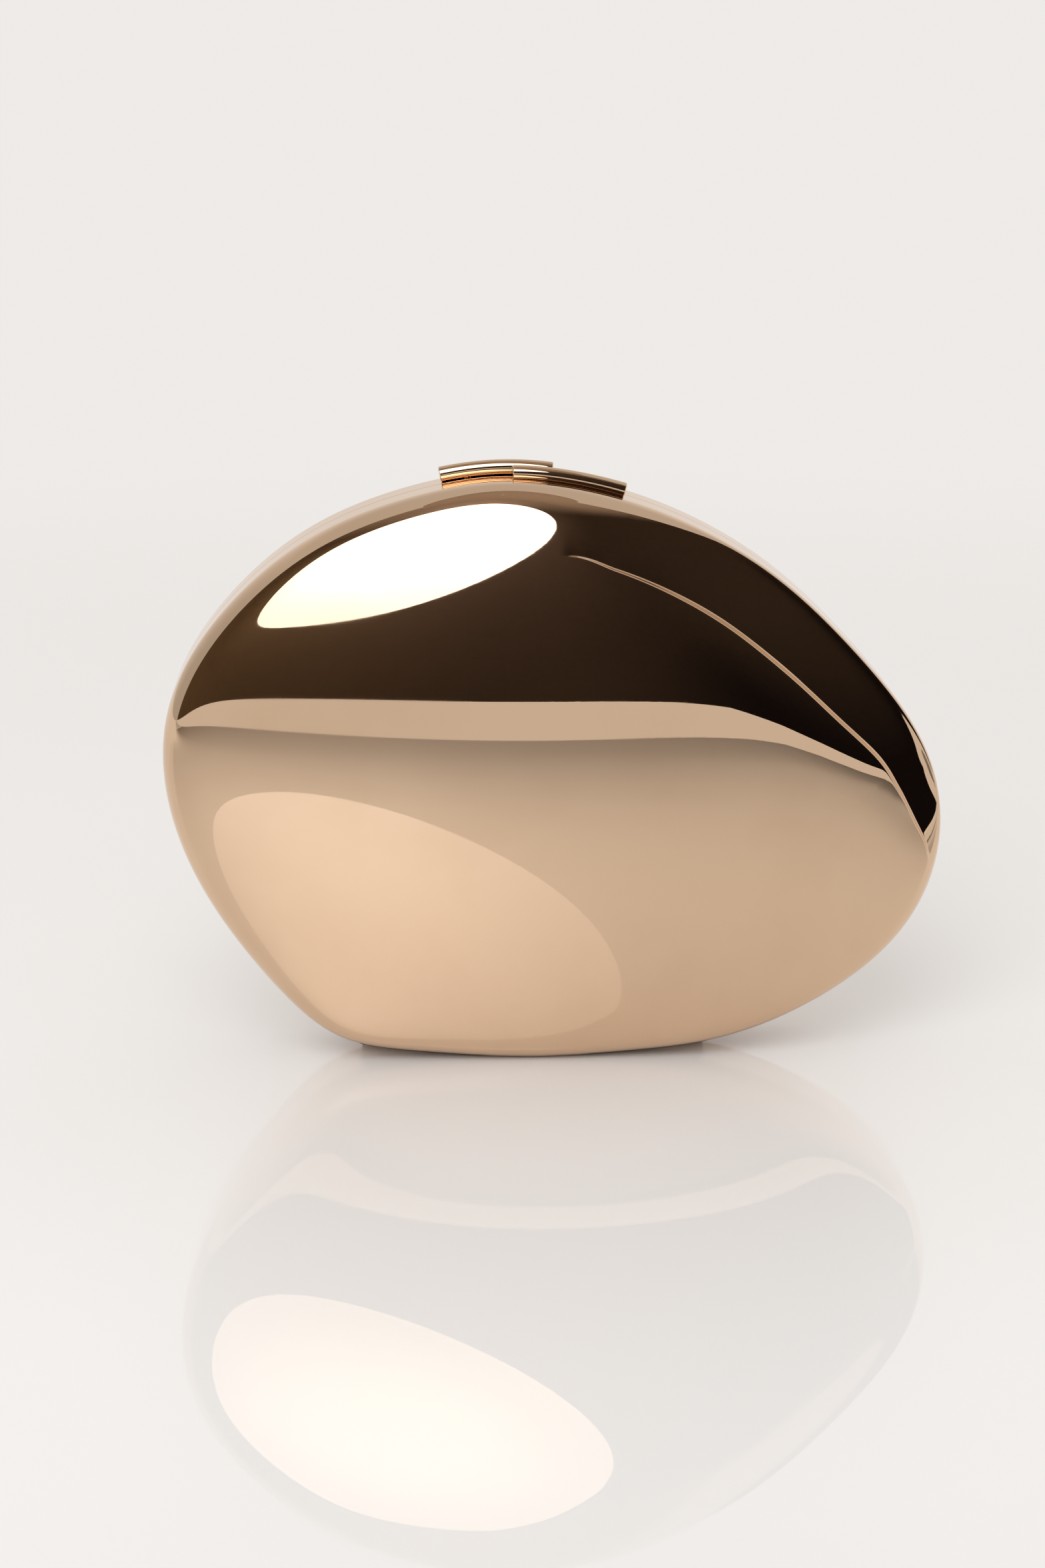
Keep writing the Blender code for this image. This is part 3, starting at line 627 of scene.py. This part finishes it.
def parted(tree, vector):
    """Outputs X, Y and Z of a vector."""
    node = add(tree, "ShaderNodeSeparateXYZ")
    tree.links.new(vector, node.inputs["Vector"])
    return node.outputs


def length_of(tree, vector):
    """Output with the length of a vector."""
    node = add(tree, "ShaderNodeVectorMath", operation="LENGTH")
    tree.links.new(vector, node.inputs[0])
    return node.outputs["Value"]


def new_group(name, inputs, outputs):
    """A shader node group with named sockets, and its two end nodes."""
    group = bpy.data.node_groups.new(name, "ShaderNodeTree")
    for label, kind, value in inputs:
        socket = group.interface.new_socket(label, in_out="INPUT", socket_type=kind)
        if value is not None:
            socket.default_value = value
    for label, kind in outputs:
        group.interface.new_socket(label, in_out="OUTPUT", socket_type=kind)
    return group, group.nodes.new("NodeGroupInput"), group.nodes.new("NodeGroupOutput")


def place_group(tree, group, **values):
    """A group's node with its inputs' values, whose names have _ for a space."""
    node = tree.nodes.new("ShaderNodeGroup")
    node.node_tree = group
    for key, value in values.items():
        node.inputs[key.replace("_", " ")].default_value = value
    return node


def polish_group():
    """Soft smudges and hair-fine scratches of a polished metal: a colour, a roughness, a height."""
    group, given, made = new_group(
        "polish_marks",
        (
            ("Colour", "NodeSocketColor", None),
            ("Deep Colour", "NodeSocketColor", None),
            ("Least Roughness", "NodeSocketFloat", 0.03),
            ("Most Roughness", "NodeSocketFloat", 0.1),
            ("Smudge Scale", "NodeSocketFloat", 30.0),
            ("Scratch Scale", "NodeSocketFloat", 900.0),
        ),
        (
            ("Colour", "NodeSocketColor"),
            ("Roughness", "NodeSocketFloat"),
            ("Height", "NodeSocketFloat"),
        ),
    )
    place = add(group, "ShaderNodeTexCoord").outputs["Object"]
    smudge = noise(group, place, given.outputs["Smudge Scale"], 3.0, 0.6)
    smudge = ramp(group, smudge, *SMUDGE_SPAN, smooth=False)
    lay = add(group, "ShaderNodeMapping", {"Rotation": SCRATCH_TURN, "Scale": SCRATCH_STRETCH})
    group.links.new(place, lay.inputs["Vector"])
    scratch = noise(group, lay.outputs["Vector"], given.outputs["Scratch Scale"], 2.0)
    thin = ramp(group, scratch, *SCRATCH_SPAN, smooth=False)
    both = maths(group, "MULTIPLY_ADD", thin, SCRATCH_SHARE, smudge)
    least, most = given.outputs["Least Roughness"], given.outputs["Most Roughness"]
    rough = ramp(group, both, 0.0, 1.0, least, most, smooth=False)
    tone = mixed(group, smudge, given.outputs["Colour"], given.outputs["Deep Colour"])
    for label, value in (("Colour", tone), ("Roughness", rough), ("Height", scratch)):
        group.links.new(value, made.inputs[label])
    return group


def weave_group():
    """Satin weave over a piece's own map: threads one way, crossed here and there by the other, with
    painted shade in the grooves between them.
    """
    group, given, made = new_group(
        "satin_weave",
        (
            ("Colour", "NodeSocketColor", None),
            ("Deep Colour", "NodeSocketColor", None),
            ("Threads Around", "NodeSocketFloat", 1400.0),
            ("Threads Across", "NodeSocketFloat", 300.0),
        ),
        (("Colour", "NodeSocketColor"), ("Height", "NodeSocketFloat")),
    )
    place = add(group, "ShaderNodeTexCoord")
    apart = parted(group, place.outputs["UV"])
    ridges = []
    for axis, count in (("X", "Threads Around"), ("Y", "Threads Across")):
        scaled = maths(group, "MULTIPLY", apart[axis], given.outputs[count])
        ridges.append(maths(group, "PINGPONG", scaled, 1.0))
    crossing = maths(group, "MULTIPLY", ridges[1], CROSSING_HEIGHT)
    height = maths(group, "MAXIMUM", ridges[0], crossing)
    cloud = noise(group, place.outputs["Object"], CLOTH_CLOUD_SCALE, 4.0)
    # Painted shade: the colour is darker in the grooves between threads and lighter on their tops,
    # with a random cloud added.
    painted_groove_shade = maths(group, "MULTIPLY", height, 0.5)
    tint = maths(group, "MULTIPLY_ADD", cloud, 0.5, painted_groove_shade)
    tone = mixed(group, tint, given.outputs["Deep Colour"], given.outputs["Colour"])
    group.links.new(tone, made.inputs["Colour"])
    group.links.new(height, made.inputs["Height"])
    return group


POLISH = polish_group()
WEAVE = weave_group()


def polished_metal(name, colour, deep, least, most, scratches, bump):
    """A bare metal whose smudges and scratches vary its colour, roughness and normal."""
    material, tree, shader = new_material(name)
    marks = place_group(
        tree, POLISH, Colour=(*colour, 1), Deep_Colour=(*deep, 1),
        Least_Roughness=least, Most_Roughness=most, Scratch_Scale=scratches,
    )
    relief = add(tree, "ShaderNodeBump", {"Strength": bump, "Distance": SCRATCH_DEPTH})
    link = tree.links.new
    link(marks.outputs["Colour"], shader.inputs["Base Color"])
    link(marks.outputs["Roughness"], shader.inputs["Roughness"])
    link(marks.outputs["Height"], relief.inputs["Height"])
    link(relief.outputs["Normal"], shader.inputs["Normal"])
    shader.inputs["Metallic"].default_value = 1.0
    return material


def satin(name, colour, deep, around, across, roughness):
    """Woven satin with a sheen, its threads counted round and across the piece."""
    material, tree, shader = new_material(name)
    cloth = place_group(
        tree, WEAVE, Colour=(*colour, 1), Deep_Colour=(*deep, 1),
        Threads_Around=around, Threads_Across=across,
    )
    relief = add(tree, "ShaderNodeBump", {"Strength": THREAD_RELIEF, "Distance": THREAD_DEPTH})
    link = tree.links.new
    link(cloth.outputs["Colour"], shader.inputs["Base Color"])
    link(cloth.outputs["Height"], relief.inputs["Height"])
    link(relief.outputs["Normal"], shader.inputs["Normal"])
    shader.inputs["Roughness"].default_value = roughness
    shader.inputs["Sheen Weight"].default_value = SHEEN
    shader.inputs["Sheen Roughness"].default_value = SHEEN_ROUGHNESS
    return material


GOLD = polished_metal(
    "mirror_gold", (0.735, 0.53, 0.365), (0.705, 0.50, 0.34), 0.015, 0.04, 700.0, 0.02,
)
FRAME_GOLD = polished_metal(
    "rim_frame_gold", (0.74, 0.535, 0.365), (0.68, 0.47, 0.31), 0.08, 0.2, 500.0, 0.1,
)
BRASS = polished_metal(
    "turned_brass", (0.75, 0.58, 0.33), (0.6, 0.43, 0.22), 0.18, 0.38, 1200.0, 0.3,
)
STEEL = polished_metal(
    "hinge_wire", (0.62, 0.6, 0.57), (0.5, 0.48, 0.45), 0.15, 0.35, 1500.0, 0.25,
)
# The second colour of each satin is its painted shade between threads, mixed with a random cloud
# tone.
SATIN = satin("champagne_satin", (0.70, 0.57, 0.42), (0.50, 0.38, 0.26), 1500.0, 260.0, 0.42)
CORD = satin("satin_cord", (0.74, 0.60, 0.43), (0.46, 0.34, 0.22), 900.0, 24.0, 0.5)


# Pieces

def add_shell(half):
    """Metal skin of a half, with the slot for the hinge in its mouth."""
    side = HALVES[half]
    piece = dished_piece(
        f"{half}_shell_skin", side, f"{half}_half", GOLD, SHELL_COLUMNS, 0.0, SHELL_MOUTH_ROWS,
        shell_height, SHELL_WALL, SHELL_ROWS, slot=True,
    )
    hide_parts(f"{half}_shell")


def add_lining(half):
    """Satin tray inside a half."""
    side = HALVES[half]
    piece = dished_piece(
        f"{half}_lining_satin", side, f"{half}_half", SATIN, LINING_COLUMNS, LINING_INSET,
        LINING_MOUTH_ROWS, lining_height, LINING_THICK, LINING_ROWS,
    )
    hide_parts(f"{half}_lining")


def add_piping(half):
    """Round cord along the lining's mouth."""
    side = HALVES[half]
    ring = rim_ring(LINING_COLUMNS, PIPING_INSET)
    path = np.stack([ring[:, 0], np.full(len(ring), side * PIPING_DEPTH), ring[:, 1]], axis=1)
    radii = np.full(len(path), PIPING_RADIUS)
    vertices, faces = tube_mesh(path, radii, (0, 1, 0), CORD_SIDES, closed=True)
    around = np.repeat(np.arange(len(path)), CORD_SIDES) / len(path)
    across = np.tile(np.arange(CORD_SIDES), len(path)) / CORD_SIDES
    uv = np.stack([around, across], axis=1)
    piece = make_piece(f"{half}_piping_cord", vertices, faces, f"{half}_half", CORD, uv=uv)
    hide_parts(f"{half}_piping")


def top_place(x):
    """Points on the top of the outline at given x, and the outward normals there."""
    top = OUTLINE[:, 1] > DOME_CENTRE[1]
    order = np.argsort(OUTLINE[top, 0])
    known = OUTLINE[top, 0][order]
    z = np.interp(x, known, OUTLINE[top, 1][order])
    nx = np.interp(x, known, OUTLINE_NORMALS[top, 0][order])
    nz = np.interp(x, known, OUTLINE_NORMALS[top, 1][order])
    zero = np.zeros_like(nx)
    return np.stack([x, zero, z], axis=-1), np.stack([nx, zero, nz], axis=-1)


def add_bar(half):
    """Round bar that lies along the rim, with chamfered ends and two studs under it."""
    side = HALVES[half]
    sizes = CLASP[half]
    rise = BAR_RADIUS + sizes["lift"]
    x = np.linspace(sizes["left"], sizes["right"], BAR_STATIONS)
    foot, outward = top_place(x)
    shift = np.array([0.0, side * BAR_SIDE, 0.0])
    path = foot + outward * rise + shift
    start, end = path[0] - path[1], path[-1] - path[-2]
    start, end = start / np.linalg.norm(start), end / np.linalg.norm(end)
    near, far = path[0] - start * BAR_CHAMFER, path[-1] - end * BAR_CHAMFER
    path = np.concatenate([[path[0]], [near], path[1:-1], [far], [path[-1]]])
    radii = np.full(len(path), BAR_RADIUS)
    radii[0] = radii[-1] = BAR_RADIUS - BAR_CHAMFER
    meshes = [tube_mesh(path, radii, (0, 1, 0), BAR_SIDES)]
    down = np.linspace(rise, -STUD_LENGTH, STUD_STATIONS)[:, None]
    radii = np.full(STUD_STATIONS, STUD_RADIUS)
    for share in STUD_SHARES:
        foot, outward = top_place(np.array(sizes["left"] + (sizes["right"] - sizes["left"]) * share))
        meshes.append(tube_mesh(foot + shift + outward * down, radii, (0, 1, 0), STUD_SIDES))
    vertices, faces = joined(meshes)
    piece = make_piece(f"{half}_clasp_rod", vertices, faces, f"{half}_half", GOLD)
    piece.data.set_sharp_from_angle(angle=SHARP_ANGLE)
    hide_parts(f"{half}_clasp_bar")


def dress_cad_nodes():
    """Give the CAD pieces that stay in view their own finishes."""
    finishes = {
        "frame": FRAME_GOLD, "leaf": FRAME_GOLD, "pin": STEEL,
        "rivet": BRASS, "washer": BRASS, "nut": BRASS,
    }
    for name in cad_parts:
        for word, material in finishes.items():
            if word in name:
                item = bpy.data.objects[name]
                if item.data.materials:
                    item.material_slots[0].material = material
                else:
                    item.data.materials.append(material)


# Studio

BACKDROP_COLOUR = (0.855, 0.832, 0.806, 1.0)
CAMERA_PLACE = (-0.0382, -0.7419, 0.2740)
CAMERA_PITCH = math.radians(15.53)
CAMERA_YAW = math.radians(2.366)
CAMERA_LENS = 71.9
CAMERA_CLIP = 0.01
SENSOR_HEIGHT = 36.0
FLOOR_REACH = 9.0
TABLE_COLOURS = ((0.885, 0.862, 0.845, 1), (0.90, 0.877, 0.86, 1))
TABLE_CLOUD_SCALE = 9.0
TABLE_ROUGHNESS = 0.4
TABLE_COAT_IOR = 1.38
TABLE_EDGE = 0.69
TABLE_EDGE_BLUR = 0.02
TABLE_SHADE_SPAN = (-0.15, -0.55)
TABLE_COAT_SPAN = (0.0, 0.1)
TABLE_FADE_SPAN = (0.25, 0.9)
TABLE_REAR_SPAN = (-0.45, -0.2)
REAR_COAT = 0.02
FRONT_FLOOR_LEVEL = 0.92
FRONT_EDGE_SHADE = 0.78
LIGHT_LEVEL = 0.9
CEILING_SPAN = (0.3, 0.7)
CEILING_LEVEL = 0.75
LEFT_SPAN = (-0.3, -0.9)
LEFT_LEVEL = 0.62
SOFTBOX_AIM = (0.0, 0.0, 0.08)
SOFTBOX_AZIMUTH = math.radians(20)
SOFTBOX_HEIGHT = math.radians(39)
SOFTBOX_TURN = math.radians(-33)
SOFTBOX_DISTANCE = 2.0
SOFTBOX_WIDE = 0.72
SOFTBOX_TALL = 1.04
SOFTBOX_GLOW = 4.8
SOFTBOX_COLOUR = (0.92, 0.96, 1.0, 1)
SOFTBOX_EDGE = 0.65
SOFTBOX_EDGE_SPAN = (0.2, 1.0)
SOFTBOX_FOOT_SHARE = 0.7
SOFTBOX_FOOT_SPAN = (-1.0, 0.3)
SOFTBOX_SIDES = 64
FLAG_RADIUS = 2.6
FLAG_FOOT = math.radians(1.6)
FLAG_LEFT = math.radians(-82)
FLAG_RIGHT = math.radians(80)
FLAG_HIGH = math.radians(74)
FLAG_POLE = math.radians(89.5)
FLAG_SEAM = math.radians(0.2)
FLAG_FRONT_COLUMNS = 40
FLAG_REAR_COLUMNS = 60
FLAG_ROWS = 24
FLAG_LEFT_COLOUR = (0.125, 0.088, 0.054, 1)
FLAG_MIDDLE_COLOUR = (0.058, 0.042, 0.033, 1)
FLAG_RIGHT_COLOUR = (0.010, 0.008, 0.009, 1)
FLAG_RIGHT_HIGH_COLOUR = (0.046, 0.034, 0.026, 1)
FLAG_TOP_COLOUR = (0.50, 0.41, 0.34, 1)
FLAG_LEFT_SPAN = (-2.2, 0.0)
FLAG_RIGHT_SPAN = (0.2, 1.7)
FLAG_MIDDLE_SPAN = (0.0, 1.4)
FLAG_TOP_SPAN = (2.1, 2.6)
FLAG_ROUGHNESS = 0.9


def seen_rays(tree):
    """One where a ray comes from the camera, or by way of a reflection or clear body."""
    path = add(tree, "ShaderNodeLightPath").outputs
    seen = maths(tree, "MAXIMUM", path["Is Camera Ray"], path["Is Glossy Ray"])
    return maths(tree, "MAXIMUM", seen, path["Is Transmission Ray"])


def table_finish():
    """Glossy white table, shaded towards its front edge, its gloss ending behind the clutch.

    Past its edge, and further off, whatever looks at it sees the backdrop's own colour. In
    reflections the part in front of the clutch stays the table's.
    """
    material, tree, shader = new_material("white_table")
    link = tree.links.new
    place = add(tree, "ShaderNodeTexCoord").outputs["Object"]
    y = parted(tree, place)["Y"]
    tone = mixed(tree, noise(tree, place, TABLE_CLOUD_SCALE, 3.0), *TABLE_COLOURS)
    shaded = add(tree, "ShaderNodeVectorMath", operation="SCALE")
    link(tone, shaded.inputs["Vector"])
    link(ramp(tree, y, *TABLE_SHADE_SPAN, 1.0, FRONT_EDGE_SHADE), shaded.inputs["Scale"])
    link(shaded.outputs["Vector"], shader.inputs["Base Color"])
    shader.inputs["Roughness"].default_value = TABLE_ROUGHNESS
    link(ramp(tree, y, *TABLE_COAT_SPAN, 1.0, REAR_COAT), shader.inputs["Coat Weight"])
    shader.inputs["Coat Roughness"].default_value = 0.0
    shader.inputs["Coat IOR"].default_value = TABLE_COAT_IOR
    past = ramp(tree, y, -TABLE_EDGE, -TABLE_EDGE - TABLE_EDGE_BLUR, smooth=False)
    glow = add(tree, "ShaderNodeEmission", {"Color": BACKDROP_COLOUR})
    level = ramp(tree, past, 0.0, 1.0, 1.0, FRONT_FLOOR_LEVEL, smooth=False)
    link(level, glow.inputs["Strength"])
    far = ramp(tree, length_of(tree, place), *TABLE_FADE_SPAN)
    direct = add(tree, "ShaderNodeLightPath").outputs["Is Camera Ray"]
    shown = maths(tree, "MAXIMUM", ramp(tree, y, *TABLE_REAR_SPAN), direct)
    backdrop = maths(tree, "MAXIMUM", maths(tree, "MULTIPLY", far, shown), past)
    blend = add(tree, "ShaderNodeMixShader")
    link(maths(tree, "MULTIPLY", backdrop, seen_rays(tree)), blend.inputs["Fac"])
    link(shader.outputs["BSDF"], blend.inputs[1])
    link(glow.outputs["Emission"], blend.inputs[2])
    link(blend.outputs["Shader"], tree.nodes["Material Output"].inputs["Surface"])
    return material


def stage_object(name, vertices, faces, material):
    """A piece of the studio: a plain mesh in metres that isn't part of the clutch."""
    mesh = bpy.data.meshes.new(name)
    mesh.from_pydata(np.asarray(vertices).tolist(), [], faces)
    mesh.materials.append(material)
    item = bpy.data.objects.new(name, mesh)
    bpy.context.scene.collection.objects.link(item)
    return item


def add_table():
    """Table top, wide enough to be the floor too."""
    reach = FLOOR_REACH
    corners = [(-reach, -reach, 0), (reach, -reach, 0), (reach, reach, 0), (-reach, reach, 0)]
    stage_object("white_table", corners, [(0, 1, 2, 3)], table_finish())


def softbox_finish():
    """Glow that falls off from the middle to the edge, and towards the foot."""
    material, tree, shader = new_material("softbox_cloth")
    tree.nodes.remove(shader)
    place = add(tree, "ShaderNodeTexCoord").outputs["UV"]
    core = ramp(tree, length_of(tree, place), *SOFTBOX_EDGE_SPAN, 1.0, SOFTBOX_EDGE)
    foot_glow = SOFTBOX_FOOT_SHARE * SOFTBOX_GLOW
    upper = ramp(tree, parted(tree, place)["Y"], *SOFTBOX_FOOT_SPAN, foot_glow, SOFTBOX_GLOW)
    glow = add(tree, "ShaderNodeEmission", {"Color": SOFTBOX_COLOUR})
    tree.links.new(maths(tree, "MULTIPLY", core, upper), glow.inputs["Strength"])
    tree.links.new(glow.outputs["Emission"], tree.nodes["Material Output"].inputs["Surface"])
    return material


def add_softbox():
    """Round soft light: an ellipse square to its aim, with its map's middle at its own."""
    level = math.cos(SOFTBOX_HEIGHT)
    x = -math.sin(SOFTBOX_AZIMUTH) * level
    y = -math.cos(SOFTBOX_AZIMUTH) * level
    way = Vector((x, y, math.sin(SOFTBOX_HEIGHT)))
    spot = Matrix.Translation(Vector(SOFTBOX_AIM) + way * SOFTBOX_DISTANCE)
    spot = spot @ way.to_track_quat("Z", "Y").to_matrix().to_4x4()
    spot = spot @ Matrix.Rotation(SOFTBOX_TURN, 4, "Z")
    sides = SOFTBOX_SIDES
    angle = 2 * np.pi * np.arange(sides) / sides
    flat = np.concatenate([[[0.0, 0.0]], np.stack([np.cos(angle), np.sin(angle)], axis=1)])
    vertices = [tuple(spot @ Vector((u * SOFTBOX_WIDE, v * SOFTBOX_TALL, 0))) for u, v in flat]
    faces = [(0, 1 + (k + 1) % sides, 1 + k) for k in range(sides)]
    item = stage_object("softbox", vertices, faces, softbox_finish())
    layer = item.data.uv_layers.new(name="surface")
    corners = np.empty(len(item.data.loops), np.int32)
    item.data.loops.foreach_get("vertex_index", corners)
    layer.data.foreach_set("uv", flat[corners].astype(np.float32).ravel())
    item.visible_camera = False


def flag_finish():
    """Dark brown cloth, blacker low down on the right and pale at the very top."""
    material, tree, shader = new_material("brown_flag")
    apart = parted(tree, add(tree, "ShaderNodeTexCoord").outputs["Object"])
    left = ramp(tree, apart["X"], *FLAG_LEFT_SPAN)
    left = mixed(tree, left, FLAG_LEFT_COLOUR, FLAG_MIDDLE_COLOUR)
    right = ramp(tree, apart["Z"], *FLAG_RIGHT_SPAN)
    right = mixed(tree, right, FLAG_RIGHT_COLOUR, FLAG_RIGHT_HIGH_COLOUR)
    sides = mixed(tree, ramp(tree, apart["X"], *FLAG_MIDDLE_SPAN), left, right)
    tone = mixed(tree, ramp(tree, apart["Z"], *FLAG_TOP_SPAN), sides, FLAG_TOP_COLOUR)
    tree.links.new(tone, shader.inputs["Base Color"])
    shader.inputs["Roughness"].default_value = FLAG_ROUGHNESS
    shader.inputs["Specular IOR Level"].default_value = 0.0
    return material


def add_flag():
    """Dark studio cloth in front and overhead, on a sphere, that only reflections show.

    Each column of points runs up a meridian to the pole, from just over the floor in
    front and from high up behind.
    """
    front = np.linspace(FLAG_LEFT, FLAG_RIGHT, FLAG_FRONT_COLUMNS)
    last = FLAG_LEFT + 2 * math.pi - FLAG_SEAM
    behind = np.linspace(FLAG_RIGHT + FLAG_SEAM, last, FLAG_REAR_COLUMNS)
    azimuth = np.concatenate([front, behind])[None, :]
    foot = np.where(np.arange(azimuth.shape[1]) < FLAG_FRONT_COLUMNS, FLAG_FOOT, FLAG_HIGH)
    rise = np.linspace(0.0, 1.0, FLAG_ROWS)[:, None]
    height = foot + (FLAG_POLE - foot) * rise
    x = FLAG_RADIUS * np.cos(height) * np.sin(azimuth)
    y = -FLAG_RADIUS * np.cos(height) * np.cos(azimuth)
    z = FLAG_RADIUS * np.sin(height)
    vertices = np.stack([x, y, z], axis=-1).reshape(-1, 3)
    around = azimuth.shape[1]
    corner = np.arange(around)
    after = (corner + 1) % around
    faces = []
    for row in range(FLAG_ROWS - 1):
        low, high = row * around, (row + 1) * around
        loops = np.stack([low + corner, low + after, high + after, high + corner], axis=1)
        faces += loops.tolist()
    item = stage_object("brown_flag", vertices, faces, flag_finish())
    item.visible_camera = False
    item.visible_diffuse = False
    item.visible_shadow = False


def light_world():
    """Pale surroundings: one level as light, and another where they are seen.

    What is seen is the backdrop's own colour, dimmer overhead and on the left.
    """
    world = bpy.data.worlds.new("pale_room")
    bpy.context.scene.world = world
    world.use_nodes = True
    tree = world.node_tree
    apart = parted(tree, add(tree, "ShaderNodeTexCoord").outputs["Generated"])
    high = ramp(tree, apart["Z"], *CEILING_SPAN, 1.0, CEILING_LEVEL, smooth=False)
    left = ramp(tree, apart["X"], *LEFT_SPAN, 1.0, LEFT_LEVEL, smooth=False)
    room = maths(tree, "MINIMUM", high, left)
    level = ramp(tree, seen_rays(tree), 0.0, 1.0, LIGHT_LEVEL, room, smooth=False)
    ground = tree.nodes["Background"]
    ground.inputs["Color"].default_value = BACKDROP_COLOUR
    tree.links.new(level, ground.inputs["Strength"])


def add_camera():
    """Camera at the photograph's place: pitched down, turned a little to the right."""
    data = bpy.data.cameras.new("photo_view")
    data.sensor_fit = "VERTICAL"
    data.sensor_height = SENSOR_HEIGHT
    data.lens = CAMERA_LENS
    data.clip_start = CAMERA_CLIP
    camera = bpy.data.objects.new("photo_view", data)
    camera.location = CAMERA_PLACE
    camera.rotation_euler = (math.radians(90) - CAMERA_PITCH, 0, -CAMERA_YAW)
    bpy.context.scene.collection.objects.link(camera)
    bpy.context.scene.camera = camera


for half in HALVES:
    add_shell(half)
    add_lining(half)
    add_piping(half)
    add_bar(half)
dress_cad_nodes()
add_table()
add_softbox()
add_flag()
light_world()
add_camera()
bpy.context.scene.view_settings.view_transform = "Standard"

bpy.context.view_layer.update()
